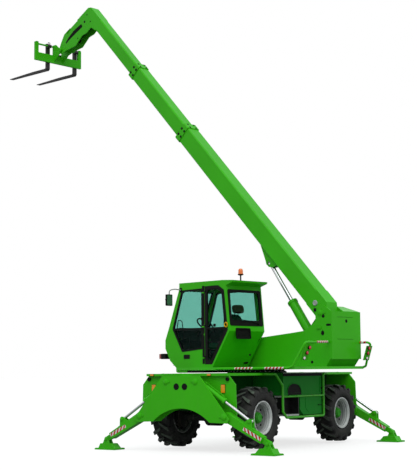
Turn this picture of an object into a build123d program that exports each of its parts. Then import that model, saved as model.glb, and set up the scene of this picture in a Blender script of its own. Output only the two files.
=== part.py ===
from build123d import *
import os
from math import atan2, cos, degrees, hypot, radians, sin

os.makedirs("parts", exist_ok=True)

# Rotating telehandler standing on its four stabilisers, in millimetres.
# Front of the chassis is -Y, the machine's left is +X, and Z = 0 is the ground.
# The origin is on the ground under the slewing axis.
# Turret pieces are drawn with the turret looking along -Y and are then turned by SLEW.
# Boom pieces are drawn level, with the boom pivot at the origin, and are then raised by BOOM_ANGLE.

# Stance
SLEW = -98.5
BOOM_ANGLE = 46.55
RUNNING_GAP = 0.3
SIDE_GAP = 10.0

# Wheels and axles
WHEELBASE = 2995.0
TYRE_RADIUS = 578.0
TYRE_WIDTH = 430.0
WHEEL_LIFT = 34.0
WHEEL_CENTRE_X = 922.0
KINGPIN_OFFSET = 72.0
LUG_HEIGHT = 27.0
LUG_WIDTH = 50.0
LUG_ANGLE = 22.0
LUGS_PER_ROW = 16
TYRE_WALL = 30.0
BEAD_RADIUS = 290.0
RIM_RADIUS = 316.0
RIM_FACE = 184.0
RIM_BACK = -165.0
RIM_BARREL_RADIUS = 286.0
RIM_WALL = 18.0
DISC_X = 48.0
DISC_THICKNESS = 14.0
HAND_HOLES = 8
HAND_HOLE_RADIUS = 24.0
HAND_HOLE_CIRCLE = 195.0
HUB_RADIUS = 105.0
HUB_BACK = 18.0
HUB_FACE = 158.0
SPINDLE_RADIUS = 45.0
SPINDLE_END = 95.0
KINGPIN_RADIUS = 28.0
KNUCKLE_BODY_RADIUS = 68.0
KNUCKLE_BODY_HALF = 138.0
DRIVE_HOUSING_RADIUS = 128.0
DRIVE_HOUSING_LENGTH = 90.0
YOKE_REACH = 130.0
AXLE_TUBE_RADIUS = 80.0
AXLE_EAR_RADIUS = 62.0
AXLE_EAR_GAP = 150.0
AXLE_EAR_THICKNESS = 40.0
DIFFERENTIAL_RADIUS = 165.0

# Chassis
FRAME_HALF_WIDTH = 380.0
FRAME_PLATE = 40.0
FRAME_TOP = 1400.0
FRAME_BELLY = 620.0
FRAME_ARCH = 840.0
DECK_HALF_WIDTH = 930.0
DECK_HEIGHT = 44.0
DECK_SHEET = 10.0
DECK_SETBACK_FRONT = 173.0
DECK_SETBACK_REAR = 133.0
FRONT_DECK_BACK = -790.0
REAR_DECK_FRONT = 980.0
PEDESTAL_RADIUS = 600.0
PEDESTAL_TOP = 1470.0

# Side boxes between the wheels
BOX_OVERHANG = 170.0
BOX_FRONT = -700.0
BOX_REAR = 760.0
BOX_BOTTOM = 560.0
BOX_WALL = 12.0
LOCKER_BOTTOM = 1010.0
STEP_TUBE_RADIUS = 24.0
STEP_RAIL_RADIUS = 19.0
STEP_BEND = 45.0
TREAD_LENGTH = 520.0
TREAD_THICKNESS = 30.0
ENGINE_LENGTH = 900.0
ENGINE_WIDTH = 460.0
ENGINE_HEIGHT = 560.0

# Stabilisers
PLATE = 25.0
FRONT_OVERHANG = 1102.5
REAR_OVERHANG = 903.5
PLATE_GAP = 216.0
PLATE_TOP_HALF = 432.0
PLATE_FOOT_HALF = 1080.0
PLATE_BOTTOM = 545.0
PLATE_ARCH_HALF = 650.0
PLATE_ARCH_TOP = 806.0
INNER_PLATE_HALF = 1088.0
LASHING_HOLE_RADIUS = 55.0
LASHING_HOLE_X = 95.0
LASHING_HOLE_Z = 1206.0
TIE_HALF_WIDTH = 130.0
TIE_BOTTOM = 830.0
ARM_PIVOT_X = 970.0
ARM_PIVOT_Z = 660.0
ARM_PIN_RADIUS = 32.0
FOOT_PIN_X = 1850.0
FOOT_PIN_Z = 200.0
ARM_WIDTH = 150.0
ARM_ROOT_HALF = 85.0
ARM_END_HALF = 48.0
ARM_TONGUE = 66.0
LUG_PIN_X = 1465.0
LUG_PIN_Z = 587.0
CYLINDER_PIN_X = 340.0
CYLINDER_PIN_Z = 1297.0
CYLINDER_PIN_RADIUS = 25.0
STAB_BARREL_RADIUS = 50.0
STAB_BARREL_LENGTH = 690.0
STAB_ROD_INSIDE = 55.0
STAB_ROD_RADIUS = 28.0
STAB_EYE_RADIUS = 44.0
STAB_EYE_WIDTH = 50.0
EAR_THICKNESS = 22.0
FOOT_LENGTH = 498.0
FOOT_DEPTH = 310.0
FOOT_PLATE = 26.0
FOOT_TOP = 118.0
FOOT_PIN_RADIUS = 20.0

# Turntable and rear body of the turret
TURNTABLE_BOTTOM = 1507.0
TURNTABLE_TOP = 1560.0
TURNTABLE_SHEET = 14.0
TURNTABLE_HALF = 1118.0
TURRET_REAR = -1880.0
SLEW_RING_RADIUS = 560.0
BOOM_X = -275.0
PIVOT_FORWARD = -1600.0
PIVOT_Z = 2600.0
PIVOT_PIN_RADIUS = 45.0
CHEEK = 25.0
HOOD_RIGHT = -990.0
REAR_WALL = 30.0
COUNTERWEIGHT_FRONT = -1470.0
COUNTERWEIGHT_TOP = 2290.0
LIFT_PIN_FORWARD = -1310.0
LIFT_PIN_Z = 2030.0
LIFT_PIN_RADIUS = 40.0
GUARD_TUBE_RADIUS = 22.0
GUARD_STANDOFF = 27.0
GUARD_Z = 1533.0
GUARD_BEND = 40.0
GUARD_CORNER_BACK = 1790.0
GUARD_KNEE_BACK = 1885.0
GUARD_TOP_BACK = 2100.0
GUARD_TOP_Z = 1995.0
LAMP_BRACKET_BACK = 2125.1
TAIL_LAMP_RADIUS = 38.0

# Boom, drawn level from its pivot
OUTER_WIDTH = 330.0
OUTER_HEIGHT = 380.0
OUTER_BOTTOM = -144.0
OUTER_END = 5575.0
MIDDLE_WIDTH = 292.0
MIDDLE_HEIGHT = 328.0
MIDDLE_TAIL = 2545.0
MIDDLE_END = 7845.0
INNER_WIDTH = 240.0
INNER_HEIGHT = 286.0
INNER_TAIL = 4750.0
INNER_END = 9800.0
BOOM_WALL = 12.0
BOOM_CHAMFER = 22.0
COLLAR_LENGTH = 120.0
COLLAR_BUILD = 16.0
TAIL_REACH = 200.0
BRACKET_CHEEK = 20.0
BRACKET_GAP = 96.0
LIFT_TOP_S = 1760.0
LIFT_TOP_N = -302.0
LIFT_BARREL_RADIUS = 95.0
LIFT_BARREL_LENGTH = 1020.0
LIFT_ROD_INSIDE = 380.0
LIFT_ROD_RADIUS = 42.0
LIFT_EYE_RADIUS = 62.0
LIFT_EYE_WIDTH = 84.0

# Head at the boom's tip, its tilt cylinder and the fork carriage
HEAD_PLATE = 20.0
TILT_PIN_REACH = 601.0
TILT_PIN_N = -1195.0
TILT_PIN_RADIUS = 30.0
TILT_BARREL_REACH = 390.0
TILT_BARREL_N = -190.0
TILT_EYE_LIFT = 130.0
TILT_BARREL_RADIUS = 48.0
TILT_BARREL_LENGTH = 520.0
TILT_ROD_INSIDE = 260.0
TILT_EYE_WIDTH = 50.0
TILT_EAR_THICKNESS = 18.0
TILT_ROD_RADIUS = 26.0
CARRIAGE_HALF = 720.0
CARRIAGE_BACK = 235.0
CARRIAGE_DEPTH = 60.0
CARRIAGE_BAR_BOTTOM = -290.0
CARRIAGE_BAR_TOP = -95.0
CARRIAGE_TOP = 160.0
CARRIAGE_POST = 90.0
FORK_SHAFT_RADIUS = 22.0
FORK_SHAFT_Z = 118.0
FORK_WIDTH = 110.0
FORK_THICKNESS = 42.0
FORK_LENGTH = 1420.0
FORK_UNDERSIDE = -480.0
FORK_X = (285.0, -572.0)

# Cab
CAB_LEFT = 1060.0
CAB_RIGHT = 20.0
CAB_WALL = 45.0
GLASS = 6.0
DOOR_GAP = 6.0
HINGE_RADIUS = 8.0
HINGE_FORWARD = 450.0
HINGE_LUG = 50.0
HINGE_HALF = 24.0

WHEEL_Z = TYRE_RADIUS + WHEEL_LIFT
KINGPIN_X = WHEEL_CENTRE_X - KINGPIN_OFFSET
FRONT_PLATE_Y = -WHEELBASE / 2 - FRONT_OVERHANG
REAR_PLATE_Y = WHEELBASE / 2 + REAR_OVERHANG
DECK_FRONT = FRONT_PLATE_Y + DECK_SETBACK_FRONT
DECK_REAR = REAR_PLATE_Y - DECK_SETBACK_REAR
BOX_OUTER_X = DECK_HALF_WIDTH + BOX_OVERHANG
GUARD_HALF = TURNTABLE_HALF + GUARD_STANDOFF
TILT_PIN_S = INNER_END + TILT_PIN_REACH
TILT_BARREL_S = INNER_END + TILT_BARREL_REACH
SIDES = {"left": 1, "right": -1}
ENDS = {"front": -1, "rear": 1}


# ---------------------------------------------------------------- drawing helpers
def outline(points):
    """Closed face from (a, b) points; a point with four numbers arcs through its first two."""
    edges = []
    start = points[-1][-2:]
    for point in points:
        if len(point) == 4:
            edges.append(ThreePointArc(start, point[:2], point[2:]))
        else:
            edges.append(Line(start, point))
        start = point[-2:]
    return make_face(Curve() + edges)


def side_view(points, x_min, width):
    """Solid from a (forward, up) outline, running to the left from x_min."""
    mirrored = [tuple(-c if i % 2 == 0 else c for i, c in enumerate(p)) for p in points]
    return extrude(Plane.YZ.offset(x_min) * outline(mirrored), width, dir=(1, 0, 0))


def front_view(points, y_min, depth):
    """Solid from an (x, up) outline, running to the rear from y_min."""
    return extrude(Plane.XZ.offset(-y_min) * outline(points), depth, dir=(0, 1, 0))


def plan_view(points, z_min, height):
    """Solid from an (x, y) outline, running up from z_min."""
    return extrude(Plane.XY.offset(z_min) * outline(points), height, dir=(0, 0, 1))


def block(x_range, y_range, z_range):
    """Box between two corners."""
    size = [abs(b - a) for a, b in (x_range, y_range, z_range)]
    middle = [(a + b) / 2 for a, b in (x_range, y_range, z_range)]
    return Pos(*middle) * Box(*size)


def bar(start, end, radius):
    """Round bar between two points."""
    run = Vector(*end) - Vector(*start)
    return extrude(Plane(origin=start, z_dir=run) * Circle(radius), run.length)


def x_pin(x_min, x_max, y, z, radius):
    return bar((x_min, y, z), (x_max, y, z), radius)


def y_pin(y_min, y_max, x, z, radius):
    return bar((x, y_min, z), (x, y_max, z), radius)


def bent_tube(points, bend, radius):
    """Round tube through points, with bends of one radius."""
    path = FilletPolyline(*points, radius=bend)
    return sweep(Plane(origin=path @ 0, z_dir=path % 0) * Circle(radius), path=path)


def slewed(shape):
    return Rot(0, 0, SLEW) * shape


def on_boom(shape):
    """Moves a shape drawn level on the boom's centre line to its raised and slewed place."""
    return slewed(Pos(BOOM_X, -PIVOT_FORWARD, PIVOT_Z) * Rot(-BOOM_ANGLE, 0, 0) * shape)


def save(shape, name):
    export_step(shape, f"parts/{name}.step")


def joined(shapes):
    """Several solids as one piece."""
    total = shapes[0]
    for shape in shapes[1:]:
        total = total + shape
    return total


# ---------------------------------------------------------------- wheels, knuckles and axles
def wheel_tyre():
    """Hollow ribbed tyre with two rows of slanted lugs, its axis along X."""
    tread = TYRE_RADIUS - LUG_HEIGHT
    half = TYRE_WIDTH / 2
    bead = -RIM_BACK - 12 - RUNNING_GAP
    shoulder = RIM_RADIUS + 6
    outer = [(-bead, BEAD_RADIUS), (-bead, shoulder), (-half, 400), (-half + 42, tread), (half - 42, tread),
             (half, 400), (bead, shoulder), (bead, BEAD_RADIUS)]
    inner = [(bead - TYRE_WALL, BEAD_RADIUS), (half - TYRE_WALL - 12, tread - 2 * TYRE_WALL),
             (-half + TYRE_WALL + 12, tread - 2 * TYRE_WALL), (-bead + TYRE_WALL, BEAD_RADIUS)]
    carcass = revolve(outline(outer + inner), Axis.X)
    lug_side = [(6, tread - 12), (6, TYRE_RADIUS), (half - 50, TYRE_RADIUS), (half - 8, tread - 40),
                (half - 50, tread - 40)]
    lug = Pos(0, 0, -LUG_WIDTH / 2) * extrude(outline(lug_side), LUG_WIDTH, dir=(0, 0, 1))
    turn = Pos(half / 2, 0, 0) * Rot(0, LUG_ANGLE, 0) * Pos(-half / 2, 0, 0)
    lug = turn * lug
    step = 360 / LUGS_PER_ROW
    lugs = [Rot(i * step, 0, 0) * lug for i in range(LUGS_PER_ROW)]
    other = mirror(lug, Plane.YZ)
    lugs += [Rot((i + 0.5) * step, 0, 0) * other for i in range(LUGS_PER_ROW)]
    return carcass.fuse(*lugs)


def wheel_rim():
    """Steel rim, its disc with hand holes, and the hub, in one piece that turns on the spindle."""
    inside = RIM_BARREL_RADIUS - RIM_WALL
    disc_face = DISC_X + DISC_THICKNESS
    section = [(RIM_FACE, inside), (RIM_FACE, RIM_RADIUS), (RIM_FACE - 14, RIM_RADIUS),
               (-RIM_BACK - 12, RIM_BARREL_RADIUS + 6), (-RIM_BACK - 12, RIM_BARREL_RADIUS),
               (RIM_BACK + 12, RIM_BARREL_RADIUS), (RIM_BACK + 12, RIM_RADIUS), (RIM_BACK, RIM_RADIUS),
               (RIM_BACK, inside), (DISC_X, inside), (DISC_X, HUB_RADIUS), (HUB_BACK, HUB_RADIUS),
               (HUB_BACK, SPINDLE_RADIUS + RUNNING_GAP), (SPINDLE_END + 2, SPINDLE_RADIUS + RUNNING_GAP),
               (SPINDLE_END + 2, 0), (HUB_FACE, 0), (HUB_FACE, HUB_RADIUS - 25), (HUB_FACE - 20, HUB_RADIUS),
               (disc_face, HUB_RADIUS), (disc_face, inside)]
    rim = revolve(outline(section), Axis.X)
    for i in range(HAND_HOLES):
        hole = x_pin(DISC_X - 5, disc_face + 5, HAND_HOLE_CIRCLE, 0, HAND_HOLE_RADIUS)
        rim -= Rot(i * 360 / HAND_HOLES, 0, 0) * hole
    return rim


def knuckle():
    """Steering knuckle with kingpins, final drive housing, spindle and steering arm."""
    king = -KINGPIN_OFFSET
    pin_half = AXLE_EAR_GAP + AXLE_EAR_THICKNESS + 6
    housing_end = HUB_BACK - 8
    housing_start = housing_end - DRIVE_HOUSING_LENGTH
    shape = Pos(king, 0, 0) * Cylinder(KNUCKLE_BODY_RADIUS, 2 * KNUCKLE_BODY_HALF)
    shape += Pos(king, 0, 0) * Cylinder(KINGPIN_RADIUS, 2 * pin_half)
    shape += x_pin(housing_start, housing_end, 0, 0, DRIVE_HOUSING_RADIUS)
    shape += x_pin(housing_end, SPINDLE_END, 0, 0, SPINDLE_RADIUS)
    shape += block((king - 30, king + 30), (50, 215), (-95, -65))
    return shape


def axle():
    """Steered drive axle: tube, differential, end yokes for the kingpins and frame pads."""
    ear_out = AXLE_EAR_GAP + AXLE_EAR_THICKNESS
    yoke_x = KINGPIN_X - YOKE_REACH
    shape = x_pin(-yoke_x, yoke_x, 0, 0, AXLE_TUBE_RADIUS)
    shape += x_pin(-140, 140, 0, 0, DIFFERENTIAL_RADIUS)
    for side in SIDES.values():
        shape += block((side * yoke_x, side * (yoke_x + 45)), (-75, 75), (-ear_out, ear_out))
        shape += block((side * 200, side * 320), (-90, 90), (0, FRAME_ARCH - WHEEL_Z))
        for up in (-1, 1):
            z_range = (up * AXLE_EAR_GAP, up * ear_out)
            shape += block((side * yoke_x, side * KINGPIN_X), (-AXLE_EAR_RADIUS, AXLE_EAR_RADIUS), z_range)
            shape += Pos(side * KINGPIN_X, 0, up * (AXLE_EAR_GAP + ear_out) / 2) * Cylinder(
                AXLE_EAR_RADIUS, AXLE_EAR_THICKNESS)
        shape -= Pos(side * KINGPIN_X, 0, 0) * Cylinder(KINGPIN_RADIUS + RUNNING_GAP, 3 * ear_out)
    return shape


def build_running_gear():
    tyre = wheel_tyre()
    rim = wheel_rim()
    upright = knuckle()
    beam = axle()
    save(joined([Pos(0, way * WHEELBASE / 2, WHEEL_Z) * beam for way in ENDS.values()]), "axles")
    for end, way in ENDS.items():
        y = way * WHEELBASE / 2
        for side, hand in SIDES.items():
            turn = Rot(0, 0, 0) if hand > 0 else Rot(0, 0, 180)
            place = Pos(hand * WHEEL_CENTRE_X, y, WHEEL_Z) * turn
            save(place * tyre, f"tyre_{end}_{side}")
            save(place * rim, f"rim_{end}_{side}")
            save(place * upright, f"knuckle_{end}_{side}")


# ---------------------------------------------------------------- chassis
def chassis_frame():
    """Two side rails arched over the axles, with top, belly and cross plates and the slewing pedestal."""
    front = -(FRONT_PLATE_Y + 2 * PLATE + PLATE_GAP)
    rear = -(REAR_PLATE_Y - 2 * PLATE - PLATE_GAP)
    rest = WHEELBASE / 2
    rail = [(front, FRAME_TOP), (front, 760), (rest + 330, 760), (rest + 210, FRAME_ARCH),
            (rest - 210, FRAME_ARCH), (rest - 350, FRAME_BELLY), (350 - rest, FRAME_BELLY),
            (210 - rest, FRAME_ARCH), (-rest - 210, FRAME_ARCH), (-rest - 330, 760), (rear, 760),
            (rear, FRAME_TOP)]
    inside = FRAME_HALF_WIDTH - FRAME_PLATE
    shape = side_view(rail, inside, FRAME_PLATE)
    shape += side_view(rail, -FRAME_HALF_WIDTH, FRAME_PLATE)
    shape += block((-inside, inside), (-front, -rear), (FRAME_TOP - FRAME_PLATE, FRAME_TOP))
    shape += block((-inside, inside), (350 - rest, rest - 350), (FRAME_BELLY, FRAME_BELLY + 20))
    for way in ENDS.values():
        axle_y = way * rest
        shape += block((-inside, inside), (axle_y - 200, axle_y + 200), (FRAME_ARCH, FRAME_ARCH + 25))
    shape += block((-inside, inside), (-front, -front + 20), (760, FRAME_TOP - FRAME_PLATE))
    shape += block((-inside, inside), (-rear - 20, -rear), (760, FRAME_TOP - FRAME_PLATE))
    pedestal = Pos(0, 0, (FRAME_TOP + PEDESTAL_TOP) / 2) * Cylinder(PEDESTAL_RADIUS, PEDESTAL_TOP - FRAME_TOP)
    skirt = Pos(0, 0, FRAME_TOP - FRAME_PLATE / 2) * Cylinder(PEDESTAL_RADIUS, FRAME_PLATE)
    return shape + pedestal + skirt


def deck(y_range):
    """Folded sheet deck that covers a pair of wheels."""
    z_range = (FRAME_TOP, FRAME_TOP + DECK_HEIGHT)
    lip = DECK_SHEET
    shape = block((-DECK_HALF_WIDTH, DECK_HALF_WIDTH), y_range, z_range)
    for hand in SIDES.values():
        x_range = (hand * (FRAME_HALF_WIDTH + lip), hand * (DECK_HALF_WIDTH - lip))
        shape -= block(x_range, (y_range[0] + lip, y_range[1] - lip), (FRAME_TOP - 1, z_range[1] - lip))
    return shape


def step_frame():
    """Bent tube from the deck round the left steps, with brackets to the locker."""
    x = BOX_OUTER_X - STEP_TUBE_RADIUS
    top = FRAME_TOP + DECK_HEIGHT / 2
    low = BOX_BOTTOM + STEP_TUBE_RADIUS
    front = BOX_FRONT - STEP_TUBE_RADIUS - 30
    rear = BOX_REAR + STEP_TUBE_RADIUS + 12
    points = [(DECK_HALF_WIDTH, front - 426, top), (x, front - 426, top), (x, front - 246, top),
              (x, front, 1200), (x, front, 700), (x, BOX_FRONT + 80, low), (x, rear, low), (x, rear, top),
              (x, rear + 190, top), (DECK_HALF_WIDTH, rear + 190, top)]
    tube = bent_tube(points, STEP_BEND, STEP_TUBE_RADIUS)
    middle = LOCKER_BOTTOM - STEP_TUBE_RADIUS
    return tube + bar((x, front, middle), (x, rear, middle), STEP_RAIL_RADIUS)


def step_treads():
    """Two open treads and the side strings that carry them."""
    shape = None
    start = BOX_FRONT + 40
    inner_x = BOX_OUTER_X - 2 * STEP_TUBE_RADIUS - 200
    outer_x = BOX_OUTER_X - 2 * STEP_TUBE_RADIUS
    low = BOX_BOTTOM + 2 * STEP_TUBE_RADIUS + 2
    for z in (low, LOCKER_BOTTOM - TREAD_THICKNESS - 6):
        tread = block((inner_x, outer_x), (start, start + TREAD_LENGTH), (z, z + TREAD_THICKNESS))
        for i in range(5):
            slot_y = start + 30 + i * (TREAD_LENGTH - 60) / 5 + 10
            slot = block((inner_x + 20, outer_x - 20), (slot_y, slot_y + 60), (z - 1, z + TREAD_THICKNESS + 1))
            tread -= slot
        shape = tread if shape is None else shape + tread
    for y in (start - 16, start + TREAD_LENGTH):
        shape += block((inner_x, outer_x), (y, y + 16), (low, LOCKER_BOTTOM))
    shape += block((inner_x - 12, inner_x), (start - 16, start + TREAD_LENGTH + 16), (low, LOCKER_BOTTOM))
    return shape


def pedestal_space():
    """Room that the side boxes leave round the slewing pedestal."""
    depth = DECK_HEIGHT + FRAME_PLATE + 2
    return Pos(0, 0, FRAME_TOP + DECK_HEIGHT + 1 - depth / 2) * Cylinder(PEDESTAL_RADIUS + 1, depth)


def left_locker():
    """Locker above the steps, with a tool box below its rear half."""
    upper = block((FRAME_HALF_WIDTH, BOX_OUTER_X - 2 * STEP_TUBE_RADIUS), (BOX_FRONT, BOX_REAR),
                  (LOCKER_BOTTOM, FRAME_TOP + DECK_HEIGHT))
    tool_front = BOX_FRONT + 40 + TREAD_LENGTH + 60
    side = [(-BOX_REAR, BOX_BOTTOM + 60), (-BOX_REAR, LOCKER_BOTTOM), (-tool_front, LOCKER_BOTTOM),
            (-tool_front, BOX_BOTTOM + 170), (-tool_front - 120, BOX_BOTTOM + 60)]
    width = BOX_OUTER_X - 2 * STEP_TUBE_RADIUS - FRAME_HALF_WIDTH
    tools = side_view(side, FRAME_HALF_WIDTH, width)
    outer = BOX_OUTER_X - 2 * STEP_TUBE_RADIUS
    rebate = block((outer - 8, outer + 1), (BOX_FRONT + 60, BOX_REAR - 60),
                   (LOCKER_BOTTOM + 40, FRAME_TOP - 60))
    hollow = block((FRAME_HALF_WIDTH - 1, outer - 20), (BOX_FRONT + BOX_WALL, BOX_REAR - BOX_WALL),
                   (LOCKER_BOTTOM + BOX_WALL, FRAME_TOP + DECK_HEIGHT - BOX_WALL))
    return upper + tools - rebate - hollow - pedestal_space()


def engine_cover():
    """Hollow cover of the engine bay on the right, with a louvred side."""
    inner = -FRAME_HALF_WIDTH
    outer = -BOX_OUTER_X
    top = FRAME_TOP + DECK_HEIGHT
    shell = front_view([(inner, BOX_BOTTOM), (inner, top), (outer, top), (outer, BOX_BOTTOM + 90),
                        (outer + 70, BOX_BOTTOM)], BOX_FRONT, BOX_REAR - BOX_FRONT)
    shell -= block((outer + BOX_WALL, inner + 1), (BOX_FRONT + BOX_WALL, BOX_REAR - BOX_WALL),
                   (BOX_BOTTOM + 100, top - BOX_WALL))
    shell -= block((outer + 90, inner + 1), (BOX_FRONT + BOX_WALL, BOX_REAR - BOX_WALL),
                   (BOX_BOTTOM + BOX_WALL, BOX_BOTTOM + 110))
    for i in range(6):
        z = 930 + i * 60
        shell -= block((outer - 1, outer + BOX_WALL + 1), (-420, 500), (z, z + 26))
    return shell - pedestal_space()


def engine_block():
    """The engine as one plain mass on the bay's floor."""
    x = -(FRAME_HALF_WIDTH + 20)
    z = BOX_BOTTOM + BOX_WALL
    return block((x - ENGINE_WIDTH, x), (-ENGINE_LENGTH / 2, ENGINE_LENGTH / 2), (z, z + ENGINE_HEIGHT))


def plate_outline(inner):
    """Trapezoid stabiliser plate with an arched foot; the inner one is wider at its shoulders."""
    foot = PLATE_FOOT_HALF
    sides = [(PLATE_TOP_HALF, FRAME_TOP), (foot, 620)]
    if inner:
        sides = [(DECK_HALF_WIDTH, FRAME_TOP), (INNER_PLATE_HALF - 20, 1240), (INNER_PLATE_HALF, 620)]
    right = [(-x, z) for x, z in reversed(sides)]
    return sides + [(foot - 45, PLATE_BOTTOM), (PLATE_ARCH_HALF, PLATE_BOTTOM + 12),
                    (0, PLATE_ARCH_TOP, -PLATE_ARCH_HALF, PLATE_BOTTOM + 12), (45 - foot, PLATE_BOTTOM)] + right


def stabiliser_plate(face_y, way, inner):
    """One plate; face_y is its side away from the chassis's middle."""
    return front_view(plate_outline(inner), min(face_y, face_y - way * PLATE), PLATE)


def outer_plate(face_y, way):
    """Outer plate with its two lashing holes."""
    shape = stabiliser_plate(face_y, way, False)
    for hand in SIDES.values():
        hole_y = sorted((face_y + way, face_y - way * (PLATE + 1)))
        shape -= y_pin(*hole_y, hand * LASHING_HOLE_X, LASHING_HOLE_Z, LASHING_HOLE_RADIUS)
    return shape


def plate_ties(face_y, way):
    """I-shaped post clear of the holes, and the pins of arms and cylinders, between two plates."""
    gap = sorted((face_y - way * PLATE, face_y - way * (PLATE + PLATE_GAP)))
    web = LASHING_HOLE_X - LASHING_HOLE_RADIUS - 10
    clear = LASHING_HOLE_RADIUS + 20
    shape = block((-web, web), gap, (TIE_BOTTOM, FRAME_TOP))
    for z_range in ((TIE_BOTTOM, LASHING_HOLE_Z - clear), (LASHING_HOLE_Z + clear, FRAME_TOP)):
        shape += block((-TIE_HALF_WIDTH, TIE_HALF_WIDTH), gap, z_range)
    for hand in SIDES.values():
        shape += y_pin(*gap, hand * ARM_PIVOT_X, ARM_PIVOT_Z, ARM_PIN_RADIUS)
        shape += y_pin(*gap, hand * CYLINDER_PIN_X, CYLINDER_PIN_Z, CYLINDER_PIN_RADIUS)
    return shape


def marker_lamps():
    """Reflectors and lamps on the shoulders of the inner stabiliser plates."""
    shapes = []
    front = FRONT_PLATE_Y + PLATE + PLATE_GAP
    rear = REAR_PLATE_Y - PLATE - PLATE_GAP
    for face, way in ((front, -1), (rear, 1)):
        for hand in SIDES.values():
            for x, z, width, height in ((800, 1165, 90, 150), (905, 1340, 60, 60)):
                y_range = sorted((face, face + way * 22))
                shapes.append(block((hand * x - width / 2, hand * x + width / 2), y_range,
                                    (z - height / 2, z + height / 2)))
    return joined(shapes)


def build_chassis():
    save(chassis_frame(), "chassis_frame")
    save(joined([deck((DECK_FRONT, FRONT_DECK_BACK)), deck((REAR_DECK_FRONT, DECK_REAR))]), "decks")
    save(joined([step_frame(), step_treads()]), "steps")
    save(left_locker(), "left_locker")
    save(engine_cover(), "engine_cover")
    save(engine_block(), "engine_block")
    plate_faces = ((FRONT_PLATE_Y, -1), (REAR_PLATE_Y, 1))
    save(joined([outer_plate(y, way) for y, way in plate_faces]), "outer_plates")
    save(joined([stabiliser_plate(y - way * (PLATE + PLATE_GAP), way, True) for y, way in plate_faces]),
         "inner_plates")
    save(joined([plate_ties(y, way) for y, way in plate_faces]), "plate_ties")
    save(marker_lamps(), "marker_lamps")


# ---------------------------------------------------------------- stabilisers
ARM_LENGTH = hypot(FOOT_PIN_X - ARM_PIVOT_X, FOOT_PIN_Z - ARM_PIVOT_Z)
ARM_SLOPE = degrees(atan2(FOOT_PIN_Z - ARM_PIVOT_Z, FOOT_PIN_X - ARM_PIVOT_X))
STAB_SLOPE = degrees(atan2(LUG_PIN_Z - CYLINDER_PIN_Z, LUG_PIN_X - CYLINDER_PIN_X))
STAB_REACH = hypot(LUG_PIN_X - CYLINDER_PIN_X, LUG_PIN_Z - CYLINDER_PIN_Z)


def stabiliser_arm():
    """Arm from the pivot at the origin along +X, with a narrowed tongue at the foot and ears for the rod."""
    dx = LUG_PIN_X - ARM_PIVOT_X
    dz = LUG_PIN_Z - ARM_PIVOT_Z
    slope = radians(ARM_SLOPE)
    lug_x = dx * cos(slope) + dz * sin(slope)
    lug_z = dz * cos(slope) - dx * sin(slope)
    half = ARM_WIDTH / 2
    tongue_start = ARM_LENGTH - 130
    side = [(0, -ARM_ROOT_HALF), (tongue_start, -ARM_END_HALF - 12), (tongue_start, ARM_END_HALF + 12),
            (0, ARM_ROOT_HALF)]
    shape = front_view(side, -half, ARM_WIDTH)
    shape += y_pin(-half, half, 0, 0, ARM_ROOT_HALF)
    tongue = [(tongue_start - 10, -ARM_END_HALF), (ARM_LENGTH, -ARM_END_HALF), (ARM_LENGTH, ARM_END_HALF),
              (tongue_start - 10, ARM_END_HALF)]
    shape += front_view(tongue, -ARM_TONGUE / 2, ARM_TONGUE)
    shape += y_pin(-ARM_TONGUE / 2, ARM_TONGUE / 2, ARM_LENGTH, 0, ARM_END_HALF)
    for hand in SIDES.values():
        near = STAB_EYE_WIDTH / 2 + 4
        ear_y = sorted((hand * near, hand * (near + EAR_THICKNESS)))
        ear = [(lug_x - 120, 50), (lug_x + 120, 50), (lug_x + 42, lug_z + 22),
               (lug_x, lug_z + 48, lug_x - 42, lug_z + 22)]
        shape += front_view(ear, ear_y[0], EAR_THICKNESS)
        shape -= y_pin(*ear_y, lug_x, lug_z, CYLINDER_PIN_RADIUS)
    shape -= y_pin(-half - 1, half + 1, 0, 0, ARM_PIN_RADIUS + RUNNING_GAP)
    shape -= y_pin(-half - 1, half + 1, ARM_LENGTH, 0, FOOT_PIN_RADIUS + RUNNING_GAP)
    return shape


def cylinder_barrel(radius, length, eye_radius, eye_width, pin_radius, rod_radius):
    """Cylinder tube from its eye at the origin along +X, bored for its rod."""
    shape = x_pin(eye_radius * 0.7, length, 0, 0, radius)
    shape += x_pin(length - 40, length, 0, 0, radius + 8)
    shape += y_pin(-eye_width / 2, eye_width / 2, 0, 0, eye_radius)
    shape -= x_pin(eye_radius + 30, length + 1, 0, 0, rod_radius + RUNNING_GAP)
    shape -= y_pin(-eye_width, eye_width, 0, 0, pin_radius + RUNNING_GAP)
    return shape


def cylinder_rod(reach, start, radius, eye_radius, eye_width, pin_radius):
    """Piston rod along +X that ends in an eye at reach from the barrel's eye."""
    shape = x_pin(start, reach - eye_radius * 0.7, 0, 0, radius)
    shape += y_pin(-eye_width / 2, eye_width / 2, reach, 0, eye_radius)
    shape -= y_pin(-eye_width, eye_width, reach, 0, pin_radius)
    return shape


def stabiliser_foot():
    """Foot pad hung on its pin at the origin: plate, tapered body, two ears and the pin."""
    drop = -FOOT_PIN_Z
    top = FOOT_TOP - FOOT_PIN_Z
    centre = -42
    low = FOOT_LENGTH / 2
    shape = block((centre - low, centre + low), (-FOOT_DEPTH / 2, FOOT_DEPTH / 2), (drop, drop + FOOT_PLATE))
    body = [(centre - 200, drop + FOOT_PLATE), (centre + 200, drop + FOOT_PLATE), (centre + 150, top),
            (centre - 110, top)]
    shape += front_view(body, -105, 210)
    inside = ARM_TONGUE / 2 + 5
    for hand in SIDES.values():
        ear_y = sorted((hand * inside, hand * (inside + EAR_THICKNESS)))
        ear = [(-85, top - 5), (85, top - 5), (38, 10), (0, 45, -38, 10)]
        shape += front_view(ear, ear_y[0], EAR_THICKNESS)
    half = inside + EAR_THICKNESS + 8
    return shape + y_pin(-half, half, 0, 0, FOOT_PIN_RADIUS)


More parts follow.
